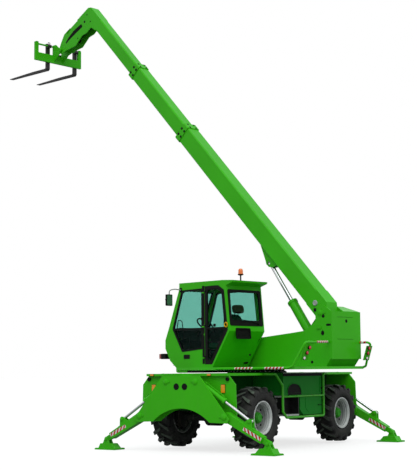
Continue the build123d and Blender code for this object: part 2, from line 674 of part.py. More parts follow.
def build_stabilisers():
    arm = stabiliser_arm()
    foot = stabiliser_foot()
    barrel = cylinder_barrel(STAB_BARREL_RADIUS, STAB_BARREL_LENGTH, STAB_EYE_RADIUS + 8, 90,
                             CYLINDER_PIN_RADIUS, STAB_ROD_RADIUS)
    rod = cylinder_rod(STAB_REACH, STAB_BARREL_LENGTH - STAB_ROD_INSIDE, STAB_ROD_RADIUS, STAB_EYE_RADIUS,
                       STAB_EYE_WIDTH, CYLINDER_PIN_RADIUS)
    middle = {"front": FRONT_PLATE_Y + PLATE + PLATE_GAP / 2, "rear": REAR_PLATE_Y - PLATE - PLATE_GAP / 2}
    for end, y in middle.items():
        for side, hand in SIDES.items():
            def placed(shape, x, z, slope):
                turned = Pos(x, y, z) * Rot(0, -slope, 0) * shape
                return turned if hand > 0 else mirror(turned, Plane.YZ)
            save(placed(arm, ARM_PIVOT_X, ARM_PIVOT_Z, ARM_SLOPE), f"arm_{end}_{side}")
            save(placed(foot, FOOT_PIN_X, FOOT_PIN_Z, 0), f"foot_{end}_{side}")
            save(placed(barrel, CYLINDER_PIN_X, CYLINDER_PIN_Z, STAB_SLOPE), f"arm_barrel_{end}_{side}")
            save(placed(rod, CYLINDER_PIN_X, CYLINDER_PIN_Z, STAB_SLOPE), f"arm_rod_{end}_{side}")


# ---------------------------------------------------------------- turret
CHEEK_INSIDE = OUTER_WIDTH / 2 + SIDE_GAP


def turntable():
    """Turret base plate with the slewing ring under it."""
    front = -1250
    corner = TURNTABLE_HALF - 58
    plan = [(-corner, -TURRET_REAR), (corner, -TURRET_REAR), (TURNTABLE_HALF, -TURRET_REAR - 90),
            (TURNTABLE_HALF, 0), (CAB_LEFT, -120), (CAB_LEFT, front), (-60, front), (-750, -900),
            (-TURNTABLE_HALF, -300),
            (-TURNTABLE_HALF, -TURRET_REAR - 90)]
    plate = plan_view(plan, TURNTABLE_BOTTOM, TURNTABLE_TOP - TURNTABLE_BOTTOM)
    hollows = (((-1000, 1040), (960, 1820)), ((-1060, -600), (-180, 820)), ((600, 1000), (-1190, 820)))
    for x_range, y_range in hollows:
        plate -= block(x_range, y_range, (TURNTABLE_BOTTOM - 1, TURNTABLE_TOP - TURNTABLE_SHEET))
    ring_height = TURNTABLE_BOTTOM - PEDESTAL_TOP - RUNNING_GAP
    ring = Pos(0, 0, TURNTABLE_BOTTOM - ring_height / 2) * Cylinder(SLEW_RING_RADIUS, ring_height)
    return plate + ring


def boom_cheeks():
    """Two tall cheek plates that carry the boom pivot and the lift cylinder, with their pins."""
    side = [(-1720, TURNTABLE_TOP), (620, TURNTABLE_TOP), (620, 1900), (500, 2110), (-165, 2165), (-855, 2227),
            (-1166, 2258), (-1320, 2330), (-1480, 2450), (-1475, 2700), (-1560, 2770), (-1700, 2740),
            (TURRET_REAR + REAR_WALL, 2640), (TURRET_REAR + REAR_WALL, 1725)]
    shape = None
    for hand in SIDES.values():
        x = BOOM_X + hand * CHEEK_INSIDE
        plate = side_view(side, min(x, x + hand * CHEEK), CHEEK)
        shape = plate if shape is None else shape + plate
    left = BOOM_X - CHEEK_INSIDE - CHEEK - 14
    right = BOOM_X + CHEEK_INSIDE + CHEEK + 14
    shape += x_pin(left, right, -PIVOT_FORWARD, PIVOT_Z, PIVOT_PIN_RADIUS)
    shape += x_pin(left, right, -LIFT_PIN_FORWARD, LIFT_PIN_Z, LIFT_PIN_RADIUS)
    shape += block((BOOM_X - CHEEK_INSIDE, BOOM_X + CHEEK_INSIDE), (-600, -560), (TURNTABLE_TOP, 1950))
    return shape


def rear_body():
    """Counterweight and rear wall behind the boom, with a chamfered lower edge."""
    side = [(-1720, TURNTABLE_TOP), (COUNTERWEIGHT_FRONT, TURNTABLE_TOP),
            (COUNTERWEIGHT_FRONT, COUNTERWEIGHT_TOP - 90), (COUNTERWEIGHT_FRONT - 90, COUNTERWEIGHT_TOP),
            (TURRET_REAR + REAR_WALL, COUNTERWEIGHT_TOP),
            (TURRET_REAR + REAR_WALL, 1725)]
    core = side_view(side, BOOM_X - CHEEK_INSIDE, 2 * CHEEK_INSIDE)
    left = BOOM_X + CHEEK_INSIDE + CHEEK
    wall = side_view([(TURRET_REAR, 1700), (TURRET_REAR + REAR_WALL, 1700), (TURRET_REAR + REAR_WALL, 2625),
                      (TURRET_REAR, 2625)], HOOD_RIGHT, left - HOOD_RIGHT)
    return core + wall


def right_hood():
    """Hood over the pumps and tank on the turret's right."""
    back = TURRET_REAR + REAR_WALL
    side = [(-1720, TURNTABLE_TOP), (760, TURNTABLE_TOP), (760, 1780), (560, 2010), (-900, 2230), (-1330, 2700),
            (-1450, 2752), (back, 2632), (back, 1725)]
    x_max = BOOM_X - CHEEK_INSIDE - CHEEK
    shape = side_view(side, HOOD_RIGHT, x_max - HOOD_RIGHT)
    hollow = [(-1700, TURNTABLE_TOP + 25), (735, TURNTABLE_TOP + 25), (735, 1770), (545, 1990), (-915, 2205),
              (-1345, 2680), (-1455, 2727), (back + 25, 2610), (back + 25, 1730)]
    shape -= side_view(hollow, HOOD_RIGHT + 25, x_max - HOOD_RIGHT)
    for i in range(7):
        z = 1700 + i * 60
        shape -= block((HOOD_RIGHT - 1, HOOD_RIGHT + 26), (500, 1300), (z, z + 26))
    return shape


def guard_tubes():
    """Tubes along the turntable's edges that rise at the rear corners and turn in to the rear body."""
    shapes = []
    z = GUARD_Z
    turned_in = GUARD_HALF - 180
    left_end = [(turned_in - 35, GUARD_TOP_BACK - 15, GUARD_TOP_Z + 15),
                (BOOM_X + CHEEK_INSIDE + CHEEK + 7, -TURRET_REAR - 80, GUARD_TOP_Z + 40)]
    right_end = [(-turned_in, GUARD_TOP_BACK - 40, GUARD_TOP_Z + 30),
                 (-turned_in, -TURRET_REAR, GUARD_TOP_Z + 30)]
    for hand, front, end in ((1, 50, left_end), (-1, -350, right_end)):
        x = hand * GUARD_HALF
        points = [(x, -front, z), (x, GUARD_CORNER_BACK, z), (x - hand * 14, GUARD_KNEE_BACK, z + 30),
                  (x - hand * 134, GUARD_TOP_BACK, GUARD_TOP_Z)] + end
        tube = bent_tube(points, GUARD_BEND, GUARD_TUBE_RADIUS)
        for y in (-front + 60, 900, 1700):
            inside = hand * (TURNTABLE_HALF if y > 0 else min(TURNTABLE_HALF, GUARD_HALF - 40))
            tube += block((inside, x), (y - 25, y + 25), (z - 12, z + 12))
        shapes.append(tube)
    return joined(shapes)


# Lamps on each bracket: x, distance behind the bracket's upper edge, z
TAIL_LAMPS = ((918, 15, 1908), (940, -33, 1812), (968, -83, 1720))


def tail_lamps():
    """Lamp brackets beside the guard legs, each with three round lamps."""
    shapes = []
    for hand in SIDES.values():
        back = LAMP_BRACKET_BACK
        side = [(-back, 1955), (20 - back, 1955), (116 - back, 1675), (96 - back, 1675)]
        bracket = side_view(side, 870, 175)
        for x, offset, z in TAIL_LAMPS:
            bracket += bar((x, back + offset - 35, z), (x, back + offset + 12, z), TAIL_LAMP_RADIUS)
        shapes.append(bracket if hand > 0 else mirror(bracket, Plane.YZ))
    return joined(shapes)


# ---------------------------------------------------------------- cab
CAB_SIDE = [(230, TURNTABLE_TOP), (1250, TURNTABLE_TOP), (1420, 1700), (1560, 1950), (1560, 2120), (1440, 2400),
            (1145, 3160), (1150, 3270), (-60, 3275), (-330, 3262), (-320, 3225), (-150, 3170), (-235, 2270)]
CAB_INSIDE = [(260, TURNTABLE_TOP + 45), (1225, TURNTABLE_TOP + 45), (1380, 1730), (1510, 1960), (1510, 2110),
              (1395, 2390), (1105, 3130), (1100, 3190), (-80, 3195), (-105, 3150), (-185, 2275)]
FRONT_SIDE_WINDOW = [(500, 1935), (1070, 1885), (1335, 2345), (1075, 3110), (500, 3125)]
DOOR_OUTLINE = [(430, 1625), (430, 3170), (60, 3175), (-95, 3080), (-190, 2290), (240, 1625)]
DOOR_WINDOW = [(375, 1690), (375, 3115), (75, 3120), (-48, 3050), (-130, 2300), (262, 1690)]
RIGHT_WINDOW = [(60, 2150), (1250, 2150), (1320, 2360), (1070, 3110), (0, 3120), (-80, 2400)]
REAR_WINDOW_X = (95, 985)
REAR_WINDOW_Z = (2460, 3060)
WINDSCREEN_X = (75, 1005)
HINGE_Z = (1760, 2380, 3060)


def hinge_lugs(y_min, low):
    """Lugs from y_min, each with a knuckle on the hinge line and its lower edge low above the hinge."""
    shapes = []
    height = HINGE_HALF - 1
    for z in HINGE_Z:
        lug = block((CAB_LEFT, CAB_LEFT + 2 * HINGE_RADIUS), (y_min, y_min + HINGE_LUG),
                    (z + low, z + low + height))
        knuckle_place = Pos(CAB_LEFT + HINGE_RADIUS, -HINGE_FORWARD, z + low + height / 2)
        shapes.append(lug + knuckle_place * Cylinder(HINGE_RADIUS - RUNNING_GAP, height))
    return joined(shapes)


def cab_shell():
    """Hollow cab body with every window and the doorway cut, and a visor over the rear window."""
    shape = side_view(CAB_SIDE, CAB_RIGHT, CAB_LEFT - CAB_RIGHT)
    shape -= side_view(CAB_INSIDE, CAB_RIGHT + CAB_WALL, CAB_LEFT - CAB_RIGHT - 2 * CAB_WALL)
    left_inside = CAB_LEFT - CAB_WALL - 1
    shape -= side_view(FRONT_SIDE_WINDOW, left_inside, CAB_WALL + 2)
    clearance = DOOR_GAP
    doorway = [(430 + clearance, 1625 - clearance), (430 + clearance, 3170 + clearance), (58, 3175 + clearance),
               (-100, 3083), (-196, 2288), (237, 1625 - clearance)]
    shape -= side_view(doorway, left_inside, CAB_WALL + 2)
    shape -= side_view(RIGHT_WINDOW, CAB_RIGHT - 1, CAB_WALL + 2)
    shape -= block(REAR_WINDOW_X, (50, 320), REAR_WINDOW_Z)
    screen = [(1400, 2200), (1600, 2200), (1560, 2450), (1290, 3120), (1010, 3120), (1280, 2440)]
    shape -= side_view(screen, WINDSCREEN_X[0], WINDSCREEN_X[1] - WINDSCREEN_X[0])
    return shape + hinge_lugs(-HINGE_FORWARD - HINGE_LUG, -HINGE_HALF)


def cab_panes():
    """Fixed panes set in the cab's window openings."""
    gap = RUNNING_GAP
    shrink = 1.0
    shapes = [side_view(FRONT_SIDE_WINDOW, CAB_LEFT - CAB_WALL / 2, GLASS),
              side_view(RIGHT_WINDOW, CAB_RIGHT + CAB_WALL / 2, GLASS)]
    rear = [(-205, REAR_WINDOW_Z[0] + gap), (-199, REAR_WINDOW_Z[0] + gap), (-141, REAR_WINDOW_Z[1] - gap),
            (-147, REAR_WINDOW_Z[1] - gap)]
    shapes.append(side_view(rear, REAR_WINDOW_X[0] + gap, REAR_WINDOW_X[1] - REAR_WINDOW_X[0] - 2 * gap))
    screen = [(1494, 2200 + shrink), (1500, 2200 + shrink), (1425, 2395), (1146, 3120 - shrink),
              (1140, 3120 - shrink), (1419, 2393)]
    shapes.append(side_view(screen, WINDSCREEN_X[0] + gap, WINDSCREEN_X[1] - WINDSCREEN_X[0] - 2 * gap))
    return joined(shapes)


def door_frame():
    """Door leaf hinged at its front edge, with hinge lugs and a ring handle at the rear."""
    inside = CAB_LEFT - CAB_WALL + 5
    leaf = side_view(DOOR_OUTLINE, inside, CAB_WALL - 5)
    leaf -= side_view(DOOR_WINDOW, inside - 1, CAB_WALL + 2)
    leaf += hinge_lugs(-HINGE_FORWARD, 1)
    leaf += block((CAB_LEFT - 2, CAB_LEFT + 22), (112, 142), (2385, 2445))
    return leaf


def door_pane():
    gap = RUNNING_GAP
    return side_view(DOOR_WINDOW, CAB_LEFT - CAB_WALL / 2 - gap, GLASS)


def seat():
    """Driver's seat on its base: cushion, back and headrest."""
    middle = (CAB_LEFT + CAB_RIGHT) / 2
    floor = TURNTABLE_TOP + 45
    shape = block((middle - 180, middle + 180), (-640, -300), (floor, floor + 300))
    cushion = [(120, floor + 300), (680, floor + 300), (700, floor + 400), (640, floor + 430),
               (120, floor + 420)]
    shape += side_view(cushion, middle - 250, 500)
    back = [(230, floor + 420), (130, floor + 420), (-10, floor + 1000), (80, floor + 1010)]
    shape += side_view(back, middle - 240, 480)
    rest = [(70, floor + 1030), (-20, floor + 1020), (-50, floor + 1190), (30, floor + 1205)]
    shape += side_view(rest, middle - 150, 300)
    post = [(50, floor + 950), (10, floor + 950), (-20, floor + 1100), (20, floor + 1100)]
    shape += side_view(post, middle - 40, 80)
    return shape


def console():
    """Dashboard, steering column and steering wheel."""
    middle = (CAB_LEFT + CAB_RIGHT) / 2
    floor = TURNTABLE_TOP + 45
    side = [(1210, floor), (1060, floor), (1080, floor + 480), (1180, floor + 560), (1370, floor + 520),
            (1360, floor + 150)]
    shape = side_view(side, middle - 300, 600)
    shape += bar((middle, -1120, floor + 480), (middle, -900, floor + 720), 30)
    rim_plane = Plane(origin=(middle, -900, floor + 720), z_dir=(0, 220, 240))
    wheel = rim_plane * Torus(185, 16)
    spoke = rim_plane * Box(370, 36, 14)
    return shape + wheel + spoke


def mirror_assembly():
    """Mirror on an arm from the cab's front left post."""
    arm = bent_tube([(CAB_LEFT + 8, -1095, 3130), (1200, -1130, 3150), (1330, -1165, 3120), (1330, -1165, 2960)],
                    30, 12)
    housing = block((1245, 1415), (-1195, -1145), (2800, 3040))
    foot = block((CAB_LEFT, CAB_LEFT + 14), (-1125, -1065), (3080, 3180))
    return arm + housing + foot


def beacon():
    """Flashing beacon on a short stem behind the roof's centre."""
    x = 600
    y = 130
    base = 3272.6
    shape = Pos(x, y, base + 60) * Cylinder(14, 120)
    shape += Pos(x, y, base + 126) * Cylinder(58, 14)
    shape += Pos(x, y, base + 190) * Cylinder(50, 115)
    return shape


def build_turret():
    pieces = {"turntable": turntable(), "boom_cheeks": boom_cheeks(), "rear_body": rear_body() + right_hood(),
              "guard_tubes": guard_tubes(), "tail_lamps": tail_lamps(), "cab_shell": cab_shell(),
              "cab_panes": cab_panes(), "door_frame": door_frame(), "door_pane": door_pane(),
              "cab_interior": joined([seat(), console()]), "mirror": mirror_assembly(), "beacon": beacon()}
    for name, shape in pieces.items():
        save(slewed(shape), name)


# ---------------------------------------------------------------- boom
BOOM_AXIS = OUTER_BOTTOM + OUTER_HEIGHT / 2


def section(width, height, chamfer):
    """Boom section outline across the boom, centred on its axis."""
    w = width / 2
    h = height / 2
    c = chamfer
    return [(-w, c - h), (c - w, -h), (w - c, -h), (w, c - h), (w, h - c), (w - c, h), (c - w, h), (-w, h - c)]


def beam(width, height, start, end, chamfer=BOOM_CHAMFER):
    """Solid beam between two places along the boom."""
    points = [(x, z + BOOM_AXIS) for x, z in section(width, height, chamfer)]
    return front_view(points, -end, end - start)


def hollow_beam(width, height, start, end):
    wall = 2 * BOOM_WALL
    inner = beam(width - wall, height - wall, start - 1, end + 1, BOOM_CHAMFER - 7)
    return beam(width, height, start, end) - inner


def collar(inner_width, inner_height, outer_width, outer_height, start, end):
    """Ring round a boom section."""
    ring = beam(outer_width, outer_height, start, end)
    return ring - beam(inner_width, inner_height, start - 1, end + 1)


def outer_boom():
    """First boom section with its chamfered tail, front collar, pivot bore and lift bracket."""
    top = OUTER_BOTTOM + OUTER_HEIGHT
    shape = hollow_beam(OUTER_WIDTH, OUTER_HEIGHT, -60, OUTER_END)
    half = OUTER_WIDTH / 2
    tail = [(400, OUTER_BOTTOM), (400, top), (60, top), (-TAIL_REACH + 30, 60), (-TAIL_REACH, 0),
            (-TAIL_REACH + 10, -70), (-90, OUTER_BOTTOM)]
    tail_solid = side_view(tail, -half, OUTER_WIDTH)
    tail_solid -= block((BOOM_WALL - half, half - BOOM_WALL), (-401, -150),
                        (OUTER_BOTTOM + BOOM_WALL, top - BOOM_WALL))
    shape = shape - block((-half - 1, half + 1), (-400, 100), (OUTER_BOTTOM - 1, top + 1)) + tail_solid
    gap = 2 * RUNNING_GAP
    shape += collar(MIDDLE_WIDTH + gap, MIDDLE_HEIGHT + gap, OUTER_WIDTH + 2 * COLLAR_BUILD,
                    OUTER_HEIGHT + 2 * COLLAR_BUILD, OUTER_END - 20, OUTER_END + COLLAR_LENGTH - 20)
    shape += collar(OUTER_WIDTH - 2 * BOOM_WALL, OUTER_HEIGHT - 2 * BOOM_WALL, OUTER_WIDTH + 2 * COLLAR_BUILD,
                    OUTER_HEIGHT + 2 * COLLAR_BUILD, OUTER_END - 60, OUTER_END - 20)
    side = [(1560, OUTER_BOTTOM + 1), (1620, -290), (1700, -352), (1790, -360), (1860, -322), (2200, -185),
            (2320, OUTER_BOTTOM + 1)]
    for hand in SIDES.values():
        x = hand * BRACKET_GAP / 2
        shape += side_view(side, min(x, x + hand * BRACKET_CHEEK), BRACKET_CHEEK)
        shape -= x_pin(*sorted((x, x + hand * BRACKET_CHEEK)), -LIFT_TOP_S, LIFT_TOP_N, LIFT_PIN_RADIUS)
    bore = PIVOT_PIN_RADIUS + RUNNING_GAP
    return shape - x_pin(-half - 1, half + 1, 0, 0, bore)


def middle_boom():
    """Second section: tail pads that run in the first section and a front collar."""
    shape = hollow_beam(MIDDLE_WIDTH, MIDDLE_HEIGHT, MIDDLE_TAIL, MIDDLE_END)
    gap = 2 * RUNNING_GAP
    shape += collar(MIDDLE_WIDTH - 2, MIDDLE_HEIGHT - 2, OUTER_WIDTH - 2 * BOOM_WALL - gap,
                    OUTER_HEIGHT - 2 * BOOM_WALL - gap, MIDDLE_TAIL, MIDDLE_TAIL + 100)
    shape += collar(INNER_WIDTH + gap, INNER_HEIGHT + gap, MIDDLE_WIDTH + 2 * COLLAR_BUILD,
                    MIDDLE_HEIGHT + 2 * COLLAR_BUILD, MIDDLE_END - 20, MIDDLE_END + COLLAR_LENGTH - 20)
    shape += collar(MIDDLE_WIDTH - 2 * BOOM_WALL, MIDDLE_HEIGHT - 2 * BOOM_WALL, MIDDLE_WIDTH + 2 * COLLAR_BUILD,
                    MIDDLE_HEIGHT + 2 * COLLAR_BUILD, MIDDLE_END - 60, MIDDLE_END - 20)
    return shape


HEAD_TOP = BOOM_AXIS + INNER_HEIGHT / 2
HEAD_PROFILE = [(-100, BOOM_AXIS - INNER_HEIGHT / 2), (-40, HEAD_TOP), (450, HEAD_TOP), (530, 120), (790, -860),
                (730, -1090), (676, -1230), (601, -1285, 520, -1240), (450, -1100), (240, -800), (220, -480),
                (130, -330), (100, -150)]
HEAD_TOP_PLATE = [(450, HEAD_TOP), (530, 120), (790, -860), (760, -870), (500, 110), (425, HEAD_TOP)]
HEAD_SLOT = [(625, -330), (655, -320), (760, -760), (700, -800)]


def past_boom_end(points):
    """Head outline, drawn from the end of the third section, as places along the boom."""
    return [tuple(c + (INNER_END if i % 2 == 0 else 0) for i, c in enumerate(point)) for point in points]


def inner_boom():
    """Third section with its tail pads and the drooping head that carries the carriage pin."""
    shape = hollow_beam(INNER_WIDTH, INNER_HEIGHT, INNER_TAIL, INNER_END)
    gap = 2 * RUNNING_GAP
    shape += collar(INNER_WIDTH - 2, INNER_HEIGHT - 2, MIDDLE_WIDTH - 2 * BOOM_WALL - gap,
                    MIDDLE_HEIGHT - 2 * BOOM_WALL - gap, INNER_TAIL, INNER_TAIL + 100)
    half = INNER_WIDTH / 2
    head = side_view(past_boom_end(HEAD_PROFILE), -half, INNER_WIDTH)
    inside = half - HEAD_PLATE
    head -= block((-inside, inside), (-INNER_END - 900, -INNER_END - 100), (-1300, -55))
    head += side_view(past_boom_end(HEAD_TOP_PLATE), -half, INNER_WIDTH)
    shape += head
    shape -= side_view(past_boom_end(HEAD_SLOT), inside - 1, HEAD_PLATE + 2)
    shape -= x_pin(-half - 1, half + 1, -TILT_PIN_S, TILT_PIN_N, TILT_PIN_RADIUS + RUNNING_GAP)
    shape += x_pin(-half + 5, half - 5, -TILT_BARREL_S, TILT_BARREL_N, TILT_ROD_RADIUS)
    return shape


LIFT_TOP_FORWARD = PIVOT_FORWARD + LIFT_TOP_S * cos(radians(BOOM_ANGLE)) - LIFT_TOP_N * sin(radians(BOOM_ANGLE))
LIFT_TOP_Z = PIVOT_Z + LIFT_TOP_S * sin(radians(BOOM_ANGLE)) + LIFT_TOP_N * cos(radians(BOOM_ANGLE))
LIFT_REACH = hypot(LIFT_TOP_FORWARD - LIFT_PIN_FORWARD, LIFT_TOP_Z - LIFT_PIN_Z)
LIFT_SLOPE = degrees(atan2(LIFT_TOP_Z - LIFT_PIN_Z, LIFT_TOP_FORWARD - LIFT_PIN_FORWARD))


def lift_cylinder():
    """Barrel and rod of the lift cylinder, between the cheeks and the boom's bracket."""
    barrel = cylinder_barrel(LIFT_BARREL_RADIUS, LIFT_BARREL_LENGTH, LIFT_EYE_RADIUS + 20, 150, LIFT_PIN_RADIUS,
                             LIFT_ROD_RADIUS)
    rod = cylinder_rod(LIFT_REACH, LIFT_BARREL_LENGTH - LIFT_ROD_INSIDE, LIFT_ROD_RADIUS, LIFT_EYE_RADIUS,
                       LIFT_EYE_WIDTH, LIFT_PIN_RADIUS)
    place = Pos(BOOM_X, -LIFT_PIN_FORWARD, LIFT_PIN_Z) * Rot(-LIFT_SLOPE, 0, 0) * Rot(0, 0, -90)
    return slewed(place * barrel), slewed(place * rod)


# The carriage is drawn level about its pin and is level at rest, so the boom's angle is taken back.
def on_carriage(shape):
    return on_boom(Pos(0, -TILT_PIN_S, TILT_PIN_N) * Rot(BOOM_ANGLE, 0, 0) * shape)


def tilt_eye():
    """Place of the tilt rod's eye on the carriage, as forward and up in the boom's level frame."""
    angle = radians(-BOOM_ANGLE)
    forward = TILT_EYE_FORWARD
    return (TILT_PIN_S + forward * cos(angle) - TILT_EYE_LIFT * sin(angle),
            TILT_PIN_N + forward * sin(angle) + TILT_EYE_LIFT * cos(angle))


TILT_EYE_FORWARD = 60.0
TILT_EYE_S, TILT_EYE_N = tilt_eye()
TILT_REACH = hypot(TILT_EYE_S - TILT_BARREL_S, TILT_EYE_N - TILT_BARREL_N)
TILT_SLOPE = degrees(atan2(TILT_EYE_N - TILT_BARREL_N, TILT_EYE_S - TILT_BARREL_S))


def tilt_cylinder():
    """Barrel and rod of the tilt cylinder, inside the head."""
    barrel = cylinder_barrel(TILT_BARREL_RADIUS, TILT_BARREL_LENGTH, 50, 80, TILT_ROD_RADIUS, TILT_ROD_RADIUS)
    rod = cylinder_rod(TILT_REACH, TILT_BARREL_LENGTH - TILT_ROD_INSIDE, TILT_ROD_RADIUS, 40, TILT_EYE_WIDTH, 20)
    place = Pos(0, -TILT_BARREL_S, TILT_BARREL_N) * Rot(-TILT_SLOPE, 0, 0) * Rot(0, 0, -90)
    return on_boom(place * barrel), on_boom(place * rod)


def carriage():
    """Fork carriage: ears on the tilt pin, frame of bars and posts, and the fork shaft."""
    back = CARRIAGE_BACK
    front = CARRIAGE_BACK + CARRIAGE_DEPTH
    half = CARRIAGE_HALF
    shape = block((-half, half), (-front, -back), (CARRIAGE_BAR_BOTTOM, CARRIAGE_BAR_TOP))
    for hand in SIDES.values():
        shape += block((hand * half, hand * (half - CARRIAGE_POST)), (-front, -back),
                       (CARRIAGE_BAR_BOTTOM, CARRIAGE_TOP))
        ear_in = INNER_WIDTH / 2 + 6
        ear = [(0, -55), (back + 10, CARRIAGE_BAR_BOTTOM + 30), (back + 10, CARRIAGE_TOP),
               (back - 60, CARRIAGE_TOP),
               (50, 50), (0, 60, -60, 0)]
        x = hand * ear_in
        shape += side_view(ear, min(x, x + hand * 25), 25)
        x_range = sorted((hand * ear_in, hand * (ear_in + 25)))
        shape += block(x_range, (-front, -back), (CARRIAGE_BAR_BOTTOM, CARRIAGE_TOP))
    reach = INNER_WIDTH / 2 + 6 + 25 + 12
    shape += x_pin(-reach, reach, 0, 0, TILT_PIN_RADIUS)
    crank = [(45, -35), (TILT_EYE_FORWARD + 42, TILT_EYE_LIFT), (TILT_EYE_FORWARD, TILT_EYE_LIFT + 42,
             TILT_EYE_FORWARD - 42, TILT_EYE_LIFT), (-45, -10), (-10, -48)]
    for hand in SIDES.values():
        near = TILT_EYE_WIDTH / 2 + 4
        x_range = sorted((hand * near, hand * (near + TILT_EAR_THICKNESS)))
        shape += side_view(crank, x_range[0], TILT_EAR_THICKNESS)
        shape -= x_pin(*x_range, -TILT_EYE_FORWARD, TILT_EYE_LIFT, 20)
    shape += x_pin(-half, half, -(back + front) / 2, FORK_SHAFT_Z, FORK_SHAFT_RADIUS)
    return shape


def forks():
    """Two floating forks hung on the shaft, each a bent bar with a tapered blade."""
    back = CARRIAGE_BACK + CARRIAGE_DEPTH + RUNNING_GAP
    shank = back + FORK_THICKNESS
    under = FORK_UNDERSIDE
    top = FORK_SHAFT_Z + 60
    tip = shank + FORK_LENGTH
    side = [(back, top), (back, under + 35), (back + 35, under), (tip, under + 4), (tip, under + 14),
            (shank + 500, under + FORK_THICKNESS), (shank + 20, under + FORK_THICKNESS),
            (shank, under + FORK_THICKNESS + 20), (shank, top)]
    eye_y = -(CARRIAGE_BACK + CARRIAGE_DEPTH / 2)
    shapes = []
    for x in FORK_X:
        fork = side_view(side, x - FORK_WIDTH / 2, FORK_WIDTH)
        fork += x_pin(x - FORK_WIDTH / 2, x + FORK_WIDTH / 2, eye_y, FORK_SHAFT_Z, FORK_SHAFT_RADIUS + 20)
        fork += block((x - FORK_WIDTH / 2, x + FORK_WIDTH / 2), (-back - 5, eye_y),
                      (FORK_SHAFT_Z - 30, FORK_SHAFT_Z + 30))
        fork -= x_pin(x - FORK_WIDTH, x + FORK_WIDTH, eye_y, FORK_SHAFT_Z, FORK_SHAFT_RADIUS + RUNNING_GAP)
        shapes.append(fork)
    return joined(shapes)


def build_boom():
    save(on_boom(outer_boom()), "outer_boom")
    save(on_boom(middle_boom()), "middle_boom")
    save(on_boom(inner_boom()), "inner_boom")
    lift_barrel, lift_rod = lift_cylinder()
    save(lift_barrel, "lift_barrel")
    save(lift_rod, "lift_rod")
    tilt_barrel, tilt_rod = tilt_cylinder()
    save(tilt_barrel, "tilt_barrel")
    save(tilt_rod, "tilt_rod")
    save(on_carriage(carriage()), "carriage")
    save(on_carriage(forks()), "forks")


build_running_gear()
build_chassis()
build_stabilisers()
build_turret()
build_boom()
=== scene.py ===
import bpy
import bmesh
from math import atan2, cos, pi, radians, sin
from mathutils import Matrix, Vector


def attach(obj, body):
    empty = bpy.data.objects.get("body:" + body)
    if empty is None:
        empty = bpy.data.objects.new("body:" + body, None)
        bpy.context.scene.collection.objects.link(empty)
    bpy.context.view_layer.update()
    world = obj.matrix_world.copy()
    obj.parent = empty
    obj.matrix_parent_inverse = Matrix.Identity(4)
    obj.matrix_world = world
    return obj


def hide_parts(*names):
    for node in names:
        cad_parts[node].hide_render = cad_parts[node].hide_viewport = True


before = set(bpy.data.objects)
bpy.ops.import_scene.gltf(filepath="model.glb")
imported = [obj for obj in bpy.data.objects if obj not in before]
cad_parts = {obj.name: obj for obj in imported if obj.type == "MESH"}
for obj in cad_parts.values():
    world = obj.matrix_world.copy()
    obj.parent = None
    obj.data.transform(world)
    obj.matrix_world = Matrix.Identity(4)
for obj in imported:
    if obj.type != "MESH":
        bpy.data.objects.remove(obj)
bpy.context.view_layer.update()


# -------- camera and studio
# The camera stands low on the machine's front left and looks slightly up, through a long lens.
# The room is a white sky over a pale floor, with one wide lamp high in front of the machine.
CAMERA_PLACE = (13.98828, -21.42028, 1.50776)
CAMERA_HEADING = 35.28855
CAMERA_RISE = 6.13521
CAMERA_ROLL = -0.47935
CAMERA_LENS = 96.26


def turned(place, *turns):
    """Matrix that moves to a place and then turns there, by radians about each named axis in turn."""
    matrix = Matrix.Translation(place)
    for angle, axis in turns:
        matrix = matrix @ Matrix.Rotation(angle, 4, axis)
    return matrix


def put_in(name, data):
    """New object in the scene."""
    made = bpy.data.objects.new(name, data)
    bpy.context.scene.collection.objects.link(made)
    return made


camera = put_in("camera", bpy.data.cameras.new("camera"))
camera.data.lens = CAMERA_LENS
camera.data.clip_end = 500
camera.matrix_world = turned(CAMERA_PLACE, (radians(CAMERA_HEADING), "Z"), (radians(90 + CAMERA_RISE), "X"),
                             (radians(CAMERA_ROLL), "Z"))
bpy.context.scene.camera = camera
bpy.context.scene.view_settings.view_transform = "Standard"


class Wire:
    """A node's output that takes part in sums: each operator adds a Math node."""

    def __init__(self, finish, socket):
        self.finish = finish
        self.socket = socket

    def join(self, operation, other, swapped=False):
        first, second = (other, self) if swapped else (self, other)
        return self.finish.node("ShaderNodeMath", {"operation": operation}, {0: first, 1: second})

    def __add__(self, other):
        return self.join("ADD", other)

    def __radd__(self, other):
        return self.join("ADD", other, True)

    def __sub__(self, other):
        return self.join("SUBTRACT", other)

    def __rsub__(self, other):
        return self.join("SUBTRACT", other, True)

    def __mul__(self, other):
        return self.join("MULTIPLY", other)

    def __rmul__(self, other):
        return self.join("MULTIPLY", other, True)

    def __gt__(self, other):
        return self.join("GREATER_THAN", other)

    def __lt__(self, other):
        return self.join("LESS_THAN", other)

    def __abs__(self):
        return self.finish.node("ShaderNodeMath", {"operation": "ABSOLUTE"}, {0: self})

    def most(self, other):
        return self.join("MAXIMUM", other)

    def least(self, other):
        return self.join("MINIMUM", other)


